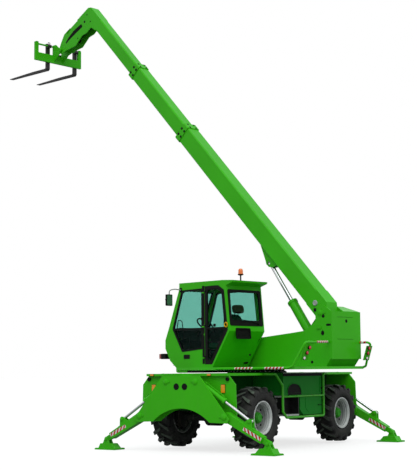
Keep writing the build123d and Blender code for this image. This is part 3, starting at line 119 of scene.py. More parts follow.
class Finish:
    """A material, or the world, whose shader is fed by wires. Constant values go onto the shader's sockets."""

    def __init__(self, name, owner=None, shader="Principled BSDF", **values):
        self.material = owner or bpy.data.materials.new(name)
        self.material.use_nodes = True
        self.tree = self.material.node_tree
        self.shader = self.tree.nodes[shader]
        for socket, value in values.items():
            self.shader.inputs[socket.replace("_", " ")].default_value = value

    def node(self, kind, settings=None, sockets=None, out=0):
        made = self.tree.nodes.new(kind)
        for name, value in (settings or {}).items():
            setattr(made, name, value)
        for name, value in (sockets or {}).items():
            if isinstance(value, Wire):
                self.tree.links.new(value.socket, made.inputs[name])
            else:
                made.inputs[name].default_value = value
        return Wire(self, made.outputs[out])

    def feed(self, **wires):
        for socket, wire in wires.items():
            self.tree.links.new(wire.socket, self.shader.inputs[socket.replace("_", " ")])
        return self.material

    def show(self, mask, first, second, output="Material Output"):
        """Ends the tree in a mix of two shaders."""
        mixed = self.node("ShaderNodeMixShader", {}, {0: mask, 1: first, 2: second})
        self.tree.links.new(mixed.socket, self.tree.nodes[output].inputs["Surface"])
        return self.material

    def main(self):
        return Wire(self, self.shader.outputs[0])

    def ray(self, kind):
        return self.node("ShaderNodeLightPath", out=f"Is {kind} Ray")

    def place(self):
        return self.node("ShaderNodeTexCoord", out="Object")

    def axis(self, letter):
        return self.node("ShaderNodeSeparateXYZ", {}, {0: self.place()}, letter)

    def noise(self, scale, detail=3.0, stretch=(1, 1, 1)):
        spread = self.node("ShaderNodeMapping", {}, {"Vector": self.place(), "Scale": stretch})
        return self.node("ShaderNodeTexNoise", {}, {"Vector": spread, "Scale": scale, "Detail": detail}, "Fac")

    def wave(self, way, scale):
        return self.node("ShaderNodeTexWave", {"bands_direction": way},
                         {"Vector": self.place(), "Scale": scale}, "Fac")

    def band(self, wire, low, high):
        """0 below low, 1 above high."""
        return self.node("ShaderNodeMapRange", {}, {0: wire, 1: low, 2: high})

    def mix(self, mask, first, second):
        return self.node("ShaderNodeMix", {"data_type": "RGBA"}, {0: mask, 6: first, 7: second}, 2)

    def bump(self, height, strength, distance):
        return self.node("ShaderNodeBump", {}, {"Height": height, "Strength": strength, "Distance": distance})


def hue(red, green, blue):
    """A colour from its screen values, as the linear one that sockets take."""
    return tuple(c / 255 / 12.92 if c < 11 else ((c / 255 + 0.055) / 1.055) ** 2.4
                 for c in (red, green, blue)) + (1,)


def dimmed(colour, share, more=0.0):
    """The colour with its three channels scaled and raised."""
    return tuple(c * share + more for c in colour[:3]) + (1,)


SKY_LIGHT = 0.62
SKY_TINT = (0.93, 0.97, 1, 1)
world = bpy.data.worlds.new("studio")
bpy.context.scene.world = world
sky = Finish("studio", world, "Background", Color=(1, 1, 1, 1), Strength=1.0)
seen = sky.ray("Camera").most(sky.ray("Glossy").most(sky.ray("Transmission")))
sky.show(seen, sky.node("ShaderNodeBackground", {}, {"Color": SKY_TINT, "Strength": SKY_LIGHT}), sky.main(),
         "World Output")

LAMP_WAY = (0.55, -0.62, 1.0)
LAMP_POWER = 1.45
LAMP_SPREAD = 50
lamp = put_in("lamp", bpy.data.lights.new("lamp", "SUN"))
lamp.data.energy = LAMP_POWER
lamp.data.angle = radians(LAMP_SPREAD)
lamp.rotation_euler = Vector(LAMP_WAY).to_track_quat("Z", "Y").to_euler()

FLOOR_HALF = 150.0
FLOOR_Z = -0.002
FLOOR_GLOW = 0.74
floor_mesh = bpy.data.meshes.new("floor")
floor_corners = [(x * FLOOR_HALF, y * FLOOR_HALF, FLOOR_Z) for x, y in ((-1, -1), (1, -1), (1, 1), (-1, 1))]
floor_mesh.from_pydata(floor_corners, [], [(0, 1, 2, 3)])
ground = put_in("floor", floor_mesh)
pale = Finish("pale_floor", Base_Color=(0.3, 0.3, 0.3, 1), Roughness=0.9, Specular_IOR_Level=0.1)
glow = pale.node("ShaderNodeEmission", {}, {"Color": (1, 1, 1, 1), "Strength": FLOOR_GLOW})
lit = pale.node("ShaderNodeAddShader", {}, {0: pale.main(), 1: glow})
ground.data.materials.append(pale.show(pale.ray("Camera"), pale.main(), lit))


# -------- chassis frame
# Welded steel side rails arched over both axles, closed by top, belly and cross plates, with the
# round pedestal that carries the slewing ring. It is painted a darker green than the body: painted
# shade for where it lies under the body.
GREEN = hue(62, 186, 20)
ROAD_DUST = hue(126, 122, 104)


def paint(name, colour, rough=0.34, mud=0.0, coat=0.05, gloss=0.1):
    """Sprayed enamel: faint fading, orange peel, and road dust that thins out upwards."""
    finish = Finish(name, Coat_Roughness=0.15, Specular_IOR_Level=gloss)
    base = finish.mix(finish.band(finish.noise(0.9, 5.0), 0.35, 0.65), dimmed(colour, 0.9), colour)
    streaks = finish.band(finish.noise(3.0, 6.0, (4, 4, 0.5)), 0.5, 0.75)
    low = 1.0 - finish.band(finish.axis("Z"), 0.05, 1.3)
    dust = (streaks * low * 0.5 * mud + finish.band(finish.noise(22.0, 4.0), 0.62, 0.8) * 0.05).least(0.85)
    return finish.feed(
        Base_Color=finish.mix(dust, base, ROAD_DUST),
        Roughness=rough + dust * 0.45 + finish.noise(6.0) * 0.08,
        Coat_Weight=coat - dust * 0.35,
        Normal=finish.bump(finish.noise(160.0, 1.0), 0.12, 0.001))


def dress(material, *nodes):
    """Gives CAD nodes their material."""
    for node in nodes:
        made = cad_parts[node]
        if not made.data.materials:
            made.data.materials.append(material)
        for place in made.material_slots:
            place.material = material


green = paint("green_enamel", GREEN, mud=0.35)
# The frame's darker green is painted shade, not a paint of its own.
dress(paint("frame_painted_shade_enamel", hue(14, 84, 24), rough=0.5, mud=0.4, coat=0.0, gloss=0.06), "chassis_frame")


# -------- decks and their edge lamps
# Folded sheet decks cover both pairs of wheels, each with two bolted hatches and a filler cap.
# Amber side lamps in black rims sit on the edge of each deck.
AXES = {"x": Vector((1, 0, 0)), "y": Vector((0, 1, 0)), "z": Vector((0, 0, 1))}
CROSSWISE = {"x": lambda a, b, t: (t, -a, b), "y": lambda a, b, t: (a, t, b), "z": lambda a, b, t: (a, b, t)}


def circle(count, radius, centre=(0, 0), turn=0.0):
    """Points round a circle; the turn counts in steps."""
    angles = [2 * pi * (i + turn) / count for i in range(count)]
    return [(centre[0] + radius * cos(a), centre[1] + radius * sin(a)) for a in angles]


def about(middle, reach):
    """The range that reaches equally far to both sides of the middle."""
    return middle - reach, middle + reach


def oblong(across, up):
    """Corners of a rectangle between two ranges."""
    return [(across[0], up[0]), (across[1], up[0]), (across[1], up[1]), (across[0], up[1])]


def eased(line, reach, steps):
    """Points of the arcs that round the corners of a line, for all its corners but the first and last."""
    points = []
    for before, corner, after in zip(line, line[1:], line[2:]):
        back, on = before - corner, after - corner
        start = corner + back.normalized() * reach(back, on)
        end = corner + on.normalized() * reach(back, on)
        points += [start * (1 - t) ** 2 + corner * 2 * t * (1 - t) + end * t * t
                   for t in (i / steps for i in range(steps + 1))]
    return points


# The frame that each body's pieces are drawn in, where that isn't the scene's own.
DRAWN = {}


class Form:
    """Metalwork in the making, in metres. Each call adds a shape; piece() makes the object and starts anew."""

    def __init__(self):
        self.mesh = bmesh.new()
        self.finish = 0

    def skin(self, rings, caps=True):
        loops = [[self.mesh.verts.new(p) for p in ring] for ring in rings]
        faces = [self.mesh.faces.new((first[i - 1], first[i], second[i], second[i - 1]))
                 for first, second in zip(loops, loops[1:]) for i in range(len(first))]
        if caps:
            faces += [self.mesh.faces.new(loops[0][::-1]), self.mesh.faces.new(loops[-1])]
        for face in faces:
            face.material_index = self.finish

    def prism(self, axis, outline, low, high):
        """Outline points are (forward, up) across X, (x, up) across Y or the rear and (x, y) across Z."""
        self.skin([[CROSSWISE[axis](a, b, t) for a, b in outline] for t in (low, high)])

    def frame(self, axis, outer, inner, low, high):
        """A flat rim between two outlines with the same number of points."""
        path = [(outer, low), (outer, high), (inner, high), (inner, low), (outer, low)]
        self.skin([[CROSSWISE[axis](a, b, t) for a, b in outline] for outline, t in path], caps=False)

    def box(self, x, y, z):
        self.prism("z", oblong(x, y), *z)

    def hoop(self, centre, side, up, radius, count):
        return [Vector(centre) + side * a + up * b for a, b in circle(count, radius)]

    def lathe(self, axis, centre, profile, segments=32, closed=False):
        """Profile points are (along, radius) from the centre."""
        order = "xyzxyz"
        one, two, three = (AXES[order[order.index(axis) + i]] for i in range(3))
        rings = [self.hoop(Vector(centre) + one * along, two, three, max(radius, 0.0004), segments)
                 for along, radius in profile]
        self.skin(rings + rings[:1] if closed else rings, caps=not closed)

    def tube(self, points, radius, bend=0.0, segments=12, steps=5):
        """Round bar through points, its corners rounded by the bend."""
        line = [Vector(p) for p in points]
        path = [line[0]] + eased(line, lambda back, on: min(bend, back.length * 0.48, on.length * 0.48), steps)
        path.append(line[-1])
        side = (path[1] - path[0]).orthogonal().normalized()
        rings = []
        for i, point in enumerate(path):
            way = (path[min(i + 1, len(path) - 1)] - path[max(i - 1, 0)]).normalized()
            side = (side - way * side.dot(way)).normalized()
            rings.append(self.hoop(point, side, way.cross(side), radius, segments))
        self.skin(rings)

    def bolt(self, place, axis, radius=0.012, height=0.008):
        """Hexagon bolt head on a washer, standing out along the axis."""
        way = Vector(axis).normalized()
        side = way.orthogonal().normalized()
        up = way.cross(side)
        for count, *rings in ((16, (0, 1.5), (0.25, 1.5)), (6, (0.25, 1), (0.9, 1), (1, 0.85))):
            self.skin([self.hoop(Vector(place) + way * height * out, side, up, radius * size, count)
                       for out, size in rings])

    def piece(self, name, materials, body, bevel=0.0, sharp=35, replaces=None, place=None):
        self.mesh.transform(place or DRAWN.get(body, Matrix()))
        bmesh.ops.recalc_face_normals(self.mesh, faces=self.mesh.faces)
        mesh = bpy.data.meshes.new(name)
        self.mesh.to_mesh(mesh)
        self.mesh.free()
        self.__init__()
        for material in materials:
            mesh.materials.append(material)
        mesh.shade_smooth()
        mesh.set_sharp_from_angle(angle=radians(sharp))
        made = put_in(name, mesh)
        if bevel:
            edge = made.modifiers.new("edges", "BEVEL")
            edge.width = bevel
            edge.segments = 2
            edge.limit_method = "ANGLE"
            edge.angle_limit = radians(40)
            edge.harden_normals = True
        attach(made, body)
        if replaces:
            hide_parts(replaces)
        return made


def lens(name, colour, shine=0.15):
    """Moulded lamp lens: ribbed, glossy and a little lit from within; on a reflector that glow is painted
    light.
    """
    finish = Finish(name, Roughness=0.16, Coat_Weight=0.6, Coat_Roughness=0.05, Emission_Strength=shine,
                    Emission_Color=colour)
    ribs = finish.wave("Z", 70.0)
    return finish.feed(Base_Color=finish.mix(ribs * 0.35, colour, dimmed(colour, 0.6)),
                       Normal=finish.bump(ribs, 0.3, 0.002))


def moulded(name, colour, rough=0.55):
    """Black or grey plastic and rubber with a fine grain."""
    finish = Finish(name, Specular_IOR_Level=0.12)
    cloud = finish.noise(9.0, 4.0)
    return finish.feed(Base_Color=finish.mix(cloud * 0.5, colour, dimmed(colour, 1.5, 0.004)),
                       Roughness=rough + cloud * 0.15,
                       Normal=finish.bump(finish.noise(420.0, 2.0), 0.06, 0.0005))


amber = lens("amber_lens", hue(238, 150, 14), 0.1)
black = moulded("black_rubber", hue(9, 10, 10))
DECK_EDGE_LAMPS = (-0.793, 0.535)
DECK_LAMP_Z = 1.422
DECK_TOP = 1.4441
HATCH_TOP = 1.4465
dress(green, "decks")
form = Form()
for side, y, way in (("front", -2.427, -1), ("rear", 2.268, 1)):
    for x in DECK_EDGE_LAMPS:
        for form.finish, start, end, across, up in ((1, 0, 0.006, 0.045, 0.02), (0, 0.006, 0.02, 0.038, 0.015)):
            form.box(about(x, across), (y + way * start, y + way * end), about(DECK_LAMP_Z, up))
    form.piece(f"deck_lamps_{side}", [amber, black], "chassis", 0.003)
    near, far = sorted((y - way * 0.85, y - way * 0.22))
    for x in (-0.46, 0.46):
        form.box(about(x, 0.29), (near, far), (DECK_TOP, HATCH_TOP))
        for across, along in oblong(about(x, 0.26), (near + 0.03, far - 0.03)):
            form.bolt((across, along, HATCH_TOP), (0, 0, 1), 0.01, 0.0035)
    form.lathe("z", (0.0, (near + far) / 2, DECK_TOP),
               [(0, 0.06), (0.003, 0.06), (0.0045, 0.055), (0.0045, 0.03), (0.006, 0.028)], 24)
    form.piece(f"deck_hatches_{side}", [green], "chassis", 0.0008)


# -------- axles and knuckles
# Cast steel drive axles with a ribbed differential, and steering knuckles with their final drives.
# They hang in road dust, so the paint is dull. Bolts close the differential and the kingpin caps.
AXLE_Y = 1.4975
WHEEL_Z = 0.612
KINGPIN_X = 0.85
WHEEL_X = 0.922
ENDS = {"front": -1, "rear": 1}
SIDES = {"left": 1, "right": -1}
CORNERS = [(f"{end}_{side}", way, hand) for end, way in ENDS.items() for side, hand in SIDES.items()]
casting = paint("cast_housing", hue(46, 48, 46), rough=0.62, mud=1.3, coat=0.0)
dress(casting, "axles", *(f"knuckle_{tag}" for tag, way, hand in CORNERS))
for end, way in ENDS.items():
    for face in (-0.14, 0.14):
        for y, z in circle(12, 0.145, (way * AXLE_Y, WHEEL_Z)):
            form.bolt((face, y, z), (face, 0, 0), 0.011, 0.012)
    form.lathe("y", (0, way * (AXLE_Y + 0.12), WHEEL_Z), [(0, 0.1), (way * 0.06, 0.09), (way * 0.09, 0.05)], 24)
    form.piece(f"axle_bolts_{end}", [casting], "chassis")
    for side, hand in SIDES.items():
        for up in (-1, 1):
            form.lathe("z", (hand * KINGPIN_X, way * AXLE_Y, WHEEL_Z + up * 0.196),
                       [(0, 0.05), (up * 0.014, 0.05), (up * 0.018, 0.02)], 24)
        form.piece(f"kingpin_caps_{end}_{side}", [casting], f"knuckle_{end}_{side}")


# -------- tyres
# Big traction tyres of 1.16 m: a bulged carcass with two rows of slanted lugs that run over the
# shoulder, deep grooves between them, and rings on the side wall. The run tread is paler with dust.
TYRE_RADIUS = 0.5775
TREAD_RADIUS = 0.53
LUG_COUNT = 16
LUG_ROOT = 0.008
SHOULDER = [(0.2125, 0.458), (0.205, 0.486), (0.194, 0.508), (0.176, 0.522), (0.145, TREAD_RADIUS),
            (0.075, TREAD_RADIUS + 0.003), (0.0, TREAD_RADIUS + 0.004)]
CARCASS = [(0.15, 0.292), (0.152, 0.318), (0.168, 0.332), (0.196, 0.352), (0.202, 0.358), (0.205, 0.366),
           (0.21, 0.378), (0.213, 0.412), (0.2135, 0.44), (0.211, 0.446), (0.211, 0.452)] + SHOULDER
# Each station of a lug: distance across, angle, half width and share of the full height.
LUG_STATIONS = [(-0.006, 0.0, 0.019, 1.0), (0.045, 0.05, 0.023, 1.0), (0.095, 0.104, 0.027, 1.0),
                (0.14, 0.146, 0.031, 1.0), (0.176, 0.172, 0.034, 0.985), (0.196, 0.18, 0.035, 0.9),
                (0.208, 0.184, 0.034, 0.6), (0.2125, 0.186, 0.032, 0.2)]


def rubber():
    """Black rubber, greyer where it has run, with dust in the grooves."""
    finish = Finish("tyre_rubber", Specular_IOR_Level=0.3)
    dust = finish.band(finish.noise(7.0, 6.0), 0.42, 0.72)
    along = abs(finish.axis("Y")) - AXLE_Y
    above = finish.axis("Z") - WHEEL_Z
    run = finish.band(along * along + above * above, 0.315, 0.33)
    worn = finish.mix(dust * 0.6, hue(24, 25, 25), hue(60, 60, 56))
    grain = finish.noise(190.0, 3.0) + finish.noise(35.0, 2.0) * 0.6
    return finish.feed(Base_Color=finish.mix(run * (0.45 + dust * 0.4), worn, hue(92, 104, 92)),
                       Roughness=0.62 + dust * 0.25, Normal=finish.bump(grain, 0.35, 0.0015))


def tread_radius(x):
    """Radius of the carcass under a lug at distance x from the middle."""
    for (x_out, r_out), (x_in, r_in) in zip(SHOULDER[1:], SHOULDER[2:]):
        if x_in <= x <= x_out:
            return r_out + (r_in - r_out) * (x_out - x) / (x_out - x_in)
    return SHOULDER[1][1]


tyre_rubber = rubber()
for tag, way, hand in CORNERS:
    form.lathe("x", (0, 0, 0), CARCASS + [(-x, r) for x, r in CARCASS[-2::-1]], 96, closed=True)
    for row in (1, -1):
        for i in range(LUG_COUNT):
            start = 2 * pi * (i + (0 if row == hand else 0.5)) / LUG_COUNT
            rings = []
            for x, turn, half, height in LUG_STATIONS:
                foot = tread_radius(abs(x))
                base = foot - LUG_ROOT
                top = min(foot + (TYRE_RADIUS - foot) * height, TYRE_RADIUS)
                angles = [(radius, start + turn * 1.15 + width / 0.56) for radius, width in
                          ((base, half * 1.3), (top, half), (top, -half), (base, -half * 1.3))]
                rings.append([(row * x, radius * cos(a), radius * sin(a)) for radius, a in angles])
            form.skin(rings)
    form.piece(f"tyre_{tag}_tread", [tyre_rubber], f"wheel_{tag}", 0.003, sharp=40,
               replaces=f"tyre_{tag}", place=turned((hand * WHEEL_X, way * AXLE_Y, WHEEL_Z)))


# -------- rims and hubs
# Pressed steel rims in silver, stepped inwards in rings to a disc with hand holes. The green
# planetary hub is bolted to the disc, with a filler plug in its cover.
RIM_PROFILE = [(0.184, 0.296), (0.186, 0.306), (0.184, 0.315), (0.172, 0.315), (0.155, 0.291), (0.0, 0.287),
               (-0.153, 0.291), (-0.156, 0.315), (-0.165, 0.314), (-0.166, 0.296), (-0.15, 0.27),
               (0.004, 0.262), (0.02, 0.25), (0.021, 0.104), (0.036, 0.104), (0.036, 0.226), (0.046, 0.242),
               (0.08, 0.25), (0.086, 0.258), (0.112, 0.262), (0.118, 0.27), (0.121, 0.281), (0.142, 0.282),
               (0.146, 0.276), (0.153, 0.278), (0.16, 0.286), (0.172, 0.293)]
HUB_PROFILE = [(0.018, 0.0), (0.018, 0.104), (0.0365, 0.104), (0.0365, 0.11), (0.05, 0.11), (0.052, 0.098),
               (0.092, 0.092), (0.096, 0.088), (0.1, 0.076), (0.112, 0.072), (0.116, 0.068), (0.117, 0.0)]
# The silver is painted darker from the lip in towards the disc: painted shade for the deep dish.
RIM_PAINTED_SHADE_FULL = 0.955
RIM_PAINTED_SHADE_END = 1.095
silver = Finish("rim_silver", Coat_Roughness=0.2, Specular_IOR_Level=0.5)
across_wheel = abs(silver.axis("X"))
dust = silver.band(silver.noise(9.0, 5.0), 0.45, 0.8)
painted_shade_to_lip = silver.band(across_wheel, RIM_PAINTED_SHADE_FULL, RIM_PAINTED_SHADE_END)
silver = silver.feed(
    Base_Color=silver.mix(dust * 0.3, silver.mix(painted_shade_to_lip, hue(92, 98, 94), hue(204, 208, 206)),
                          hue(96, 96, 84)),
    Roughness=0.3 + dust * 0.3, Coat_Weight=0.3 - dust * 0.2,
    Normal=silver.bump(silver.noise(160.0, 1.0), 0.1, 0.001))
hub_green = paint("hub_enamel", hue(52, 150, 38), rough=0.4, mud=0.5)
steel = Finish("bright_steel", Metallic=0.9)
wear = steel.noise(30.0, 5.0)
steel = steel.feed(Base_Color=steel.mix(wear, hue(150, 150, 148), hue(186, 187, 186)),
                   Roughness=0.25 + wear * 0.25,
                   Normal=steel.bump(steel.noise(300.0, 2.0, (1, 1, 12)), 0.15, 0.0006))
for tag, way, hand in CORNERS:
    DRAWN[f"wheel_{tag}"] = turned((hand * WHEEL_X, way * AXLE_Y, WHEEL_Z), (0 if hand > 0 else pi, "Z"))
    form.lathe("x", (0, 0, 0), RIM_PROFILE, 72, closed=True)
    form.finish = 1
    for y, z in circle(8, 0.195):
        form.lathe("x", (0.0, y, z), [(0.0366, 0.025), (0.0372, 0.022), (0.0372, 0.0)], 20)
    form.finish = 2
    for y, z in circle(10, 0.135, turn=0.5):
        form.bolt((0.036, y, z), (1, 0, 0), 0.014, 0.026)
    form.lathe("x", (0.118, 0.274 * cos(0.6), 0.274 * sin(0.6)), [(0, 0.006), (0.04, 0.005), (0.045, 0.003)], 8)
    form.piece(f"rim_{tag}_pressed", [silver, black, steel], f"wheel_{tag}", sharp=25,
               replaces=f"rim_{tag}")
    form.lathe("x", (0, 0, 0), HUB_PROFILE, 48)
    for y, z in circle(12, 0.082):
        form.bolt((0.098, y, z), (1, 0, 0), 0.0065, 0.01)
    form.lathe("x", (0, 0.04, 0.02), [(0.114, 0.016), (0.126, 0.015), (0.128, 0.01)], 6)
    form.piece(f"hub_{tag}", [hub_green], f"wheel_{tag}", sharp=25, replaces=f"rim_{tag}")


# -------- stabiliser plates
# Arched end plates of 25 mm steel in pairs, tied by an I-shaped post. Pin heads with keeper plates
# show on the outer faces, and black sleeves line the two lashing holes.
OUTER_FACES = {"front": -2.6, "rear": 2.401}
PIN_HEADS = ((0.97, 0.66, 0.052), (0.34, 1.297, 0.046))
LASHING_X = 0.095
LASHING_Z = 1.206
dress(green, "outer_plates", "inner_plates", "plate_ties")
for end, y in OUTER_FACES.items():
    way = ENDS[end]
    for hand in SIDES.values():
        for x, z, r in PIN_HEADS:
            form.lathe("y", (hand * x, y, z), [(0, r * 1.35), (way * 0.004, r * 1.35), (way * 0.006, r),
                                               (way * 0.016, r), (way * 0.019, r * 0.9)])
            form.box((hand * (x - 0.02), hand * (x - 0.1)), (y, y + way * 0.008), about(z, 0.02))
            form.bolt((hand * (x - 0.085), y + way * 0.008, z), (0, way, 0), 0.009, 0.008)
    form.piece(f"pin_heads_{end}", [green], "chassis")
    sleeve = [(0.004, 0.0545), (0.004, 0.061), (0, 0.061), (0, 0.0545), (-0.18, 0.0545), (-0.185, 0.0),
              (-0.175, 0.0), (-0.17, 0.0515), (-0.002, 0.0515)]
    for hand in SIDES.values():
        form.lathe("y", (hand * LASHING_X, y, LASHING_Z), [(way * depth, radius) for depth, radius in sleeve])
    form.piece(f"lashing_sleeves_{end}", [black], "chassis")


# -------- marker lamps
# Amber reflectors in black trays and small round black lamps, on the shoulders of the inner plates.
# The reflectors take the glowing amber lamp lens, so their glow is painted light.
REFLECTOR = (0.8, 1.165)
SMALL_LAMP = (0.905, 1.34)
for end, y in (("front", -2.359), ("rear", 2.16)):
    way = ENDS[end]
    for hand in SIDES.values():
        for form.finish, start, end_at, across, up in ((1, 0, 0.008, 0.05, 0.08),
                                                       (0, 0.008, 0.016, 0.043, 0.073)):
            form.box(about(hand * REFLECTOR[0], across), (y + way * start, y + way * end_at),
                     about(REFLECTOR[1], up))
        form.finish = 1
        form.lathe("y", (hand * SMALL_LAMP[0], y, SMALL_LAMP[1]), [
            (0, 0.033), (way * 0.03, 0.036), (way * 0.034, 0.03), (way * 0.026, 0.028), (way * 0.026, 0.0)], 24)
    form.piece(f"marker_lamps_{end}", [amber, black], "chassis", 0.002, replaces="marker_lamps")


# -------- stabiliser arms, cylinders and feet
# Welded box arms with a tongue for the foot, worked by cylinders with chromed rods. Both faces of
# each arm have a slanted red and white tape, and a steel pipe runs along each barrel.
FOOT = (1.85, 0.2)
ARM = (0.97, 0.66)
CYLINDER = (0.34, 1.297)
LUG = (1.465, 0.587)
ARM_HALF_WIDTH = 0.075
arm_slope = atan2(FOOT[1] - ARM[1], FOOT[0] - ARM[0])
barrel_slope = atan2(LUG[1] - CYLINDER[1], LUG[0] - CYLINDER[0])
chrome = Finish("chromed_rod", Metallic=1.0, Base_Color=hue(205, 208, 210))
chrome = chrome.feed(Roughness=0.1 + chrome.noise(40.0, 4.0, (1, 1, 8)) * 0.14)
tapes = [paint("tape_white", hue(226, 226, 222), rough=0.3), paint("tape_red", hue(196, 28, 34), rough=0.3)]


def tape(start, length, drop, rise, stripe=0.045):
    """Slanted red and white stripes on a flat strip; the form's finishes 0 and 1 take turns."""
    run = Vector((length, 0, drop))
    unit = run.normalized()
    for i in range(int((run.length + rise) / stripe) + 1):
        low, high = [[min(max(i * stripe - back + s, 0), run.length) for s in (0, stripe)]
                     for back in (0, rise)]
        top = Vector(start) + Vector((0, 0, rise))
        corners = [Vector(start) + unit * low[0], Vector(start) + unit * low[1], top + unit * high[1],
                   top + unit * high[0]]
        if low[0] == low[1]:
            corners.pop(1)
        elif high[0] == high[1]:
            corners.pop(2)
        if len({tuple(round(c, 6) for c in p) for p in corners}) == len(corners):
            form.mesh.faces.new([form.mesh.verts.new(p) for p in corners]).material_index = i % 2


for tag, way, hand in CORNERS:
    middle = {-1: -2.467, 1: 2.268}[way]
    dress(green, f"arm_{tag}", f"foot_{tag}", f"arm_barrel_{tag}")
    dress(chrome, f"arm_rod_{tag}")
    flip = DRAWN[f"foot_{tag}"] = Matrix.Scale(hand, 4, (1, 0, 0))
    DRAWN[f"arm_{tag}"] = flip @ turned((ARM[0], middle, ARM[1]), (-arm_slope, "Y"))
    DRAWN[f"arm_barrel_{tag}"] = flip @ turned((CYLINDER[0], middle, CYLINDER[1]), (-barrel_slope, "Y"))
    lug = Matrix.Rotation(arm_slope, 4, "Y") @ Vector((LUG[0] - ARM[0], 0, LUG[1] - ARM[1]))
    for out in (-1, 1):
        form.lathe("y", (lug.x, out * 0.051, lug.z),
                   [(0, 0.036), (out * 0.012, 0.036), (out * 0.015, 0.03)], 24)
    form.box((0.1, 0.62), about(0, 0.05), (0.072, 0.08))
    form.piece(f"arm_pins_{tag}", [green], f"arm_{tag}")
    for out in (-1, 1):
        tape((0.43, out * (ARM_HALF_WIDTH + 0.001), -0.03), 0.42, 0.008, 0.062)
    form.piece(f"arm_tape_{tag}", tapes, f"arm_{tag}")
    for out in (-1, 1):
        form.lathe("y", (FOOT[0], middle + out * 0.068, FOOT[1]),
                   [(0, 0.03), (out * 0.01, 0.03), (out * 0.013, 0.024)], 24)
    form.box((FOOT[0] - 0.285, FOOT[0] + 0.2), about(middle, 0.15), (0.026, 0.032))
    form.piece(f"foot_pins_{tag}", [green], f"foot_{tag}", 0.002)
    form.tube([(0.1, 0, 0.05), (0.12, 0, 0.07), (0.6, 0, 0.07), (0.62, 0, 0.052)], 0.009, 0.02, 8)
    for s in (0.18, 0.52):
        form.box(about(s, 0.012), about(0, 0.022), (0.046, 0.084))
    form.lathe("x", (0, 0, 0),
               [(0.646, 0.0585), (0.654, 0.0605), (0.684, 0.0605), (0.692, 0.054), (0.6925, 0.03)])
    form.piece(f"barrel_pipe_{tag}", [green], f"arm_barrel_{tag}")


# -------- steps, locker and engine cover
# A bent green tube guards two open grey treads on the left. Above them is a locker with a black
# ribbed strip and a toe hole, and the tool box hangs behind. The engine is under the right cover.
LOCKER_FACE = 1.052
LOCKER_TOP = 1.444
LOCKER_LENGTH = (-0.7, 0.76)
TUBE_STARTS = 1.0525
TOE_HOLE = [(0.534, 1.012), (0.534, 1.12), (0.47, 1.19), (0.38, 1.224), (0.25, 1.228), (0.12, 1.205),
            (0.045, 1.15), (0.02, 1.08), (0.02, 1.012)]
TOOL_LID = [(-0.12, 0.98), (-0.72, 0.98), (-0.72, 0.66), (-0.24, 0.66), (-0.12, 0.76)]


def offset(outline, distance):
    """Outline moved outwards by the distance; an anticlockwise or clockwise run both grow."""
    count = len(outline)
    area = sum(outline[i - 1][0] * outline[i][1] - outline[i][0] * outline[i - 1][1] for i in range(count))
    moved = []
    for i in range(count):
        before, here, after = (Vector(outline[k % count]) for k in (i - 1, i, i + 1))
        one, two = (Vector((run.y, -run.x)).normalized() * (1 if area > 0 else -1)
                    for run in (here - before, after - here))
        middle = (one + two).normalized()
        moved.append(tuple(here + middle * distance / max(middle.dot(one), 0.3)))
    return moved


def rounded(outline, radius):
    """Outline with each corner turned into a small arc."""
    line = [Vector(outline[i % len(outline)]) for i in range(-1, len(outline) + 1)]
    return eased(line, lambda back, on: min(radius, back.length * 0.45, on.length * 0.45), 5)


def tread_paint():
    """Green on the tube, dusty grey on the two treads, and black on the plates behind them as painted shade
    inside the open steps.
    """
    finish = Finish("tube_and_treads", Specular_IOR_Level=0.4)
    height = finish.axis("Z")
    on_tube = (finish.axis("X") > TUBE_STARTS).most(height > 1.03)
    on_tread = ((height > 0.609) * (height < 0.641)).most((height > 0.972) * (height < 1.006))
    mud = finish.band(finish.noise(12.0, 5.0), 0.45, 0.8)
    # Black off the treads is painted shade inside the open steps.
    treads = finish.mix(on_tread, hue(22, 24, 23), finish.mix(mud * 0.5, hue(196, 202, 198), hue(112, 108, 94)))
    return finish.feed(Base_Color=finish.mix(on_tube, treads, finish.mix(mud * 0.2, GREEN, hue(110, 112, 84))),
                       Roughness=0.38 + mud * 0.3, Normal=finish.bump(finish.noise(150.0, 2.0), 0.2, 0.001))


dress(tread_paint(), "steps")
# The locker's green is painted darker than the body's: painted shade under the turret.
locker_shade_green = paint("locker_painted_shade_enamel", hue(30, 146, 44), rough=0.45, mud=0.2, coat=0.0, gloss=0.06)
dress(locker_shade_green, "left_locker")
dress(green, "engine_cover")
dress(paint("engine_castings", hue(52, 54, 54), rough=0.6, mud=0.6, coat=0.0), "engine_block")
pale_steel = paint("pale_steel", hue(176, 180, 176), rough=0.35, mud=0.2, coat=0.1)

form.box((LOCKER_FACE, LOCKER_FACE + 0.008), LOCKER_LENGTH, (1.376, 1.432))
for i in range(4):
    z = 1.382 + i * 0.0125
    form.box((LOCKER_FACE + 0.008, LOCKER_FACE + 0.012), (-0.69, 0.75), (z, z + 0.006))
# A black sheet a little behind the face fills the toe hole: painted shade for its depth.
form.prism("x", rounded(TOE_HOLE, 0.03), LOCKER_FACE - 0.0085, LOCKER_FACE - 0.0075)
form.prism("x", oblong((0.02, 0.534), (1.012, 1.049)), LOCKER_FACE, LOCKER_FACE + 0.0012)
form.finish = 1
form.box((LOCKER_FACE - 0.03, LOCKER_FACE + 0.012), LOCKER_LENGTH, (1.434, LOCKER_TOP + 0.002))
form.piece("locker_strip", [black, pale_steel], "chassis", 0.0015)

form.frame("x", rounded(offset(TOE_HOLE, 0.01), 0.035), rounded(TOE_HOLE, 0.03), LOCKER_FACE - 0.008,
           LOCKER_FACE + 0.004)
form.prism("x", rounded(TOOL_LID, 0.03), LOCKER_FACE, LOCKER_FACE + 0.006)
for y in (0.24, 0.6):
    form.tube([(LOCKER_FACE + 0.008, along, 0.972) for along in about(y, 0.03)], 0.009, segments=10)
form.piece("locker_doors", [locker_shade_green], "chassis", 0.002)

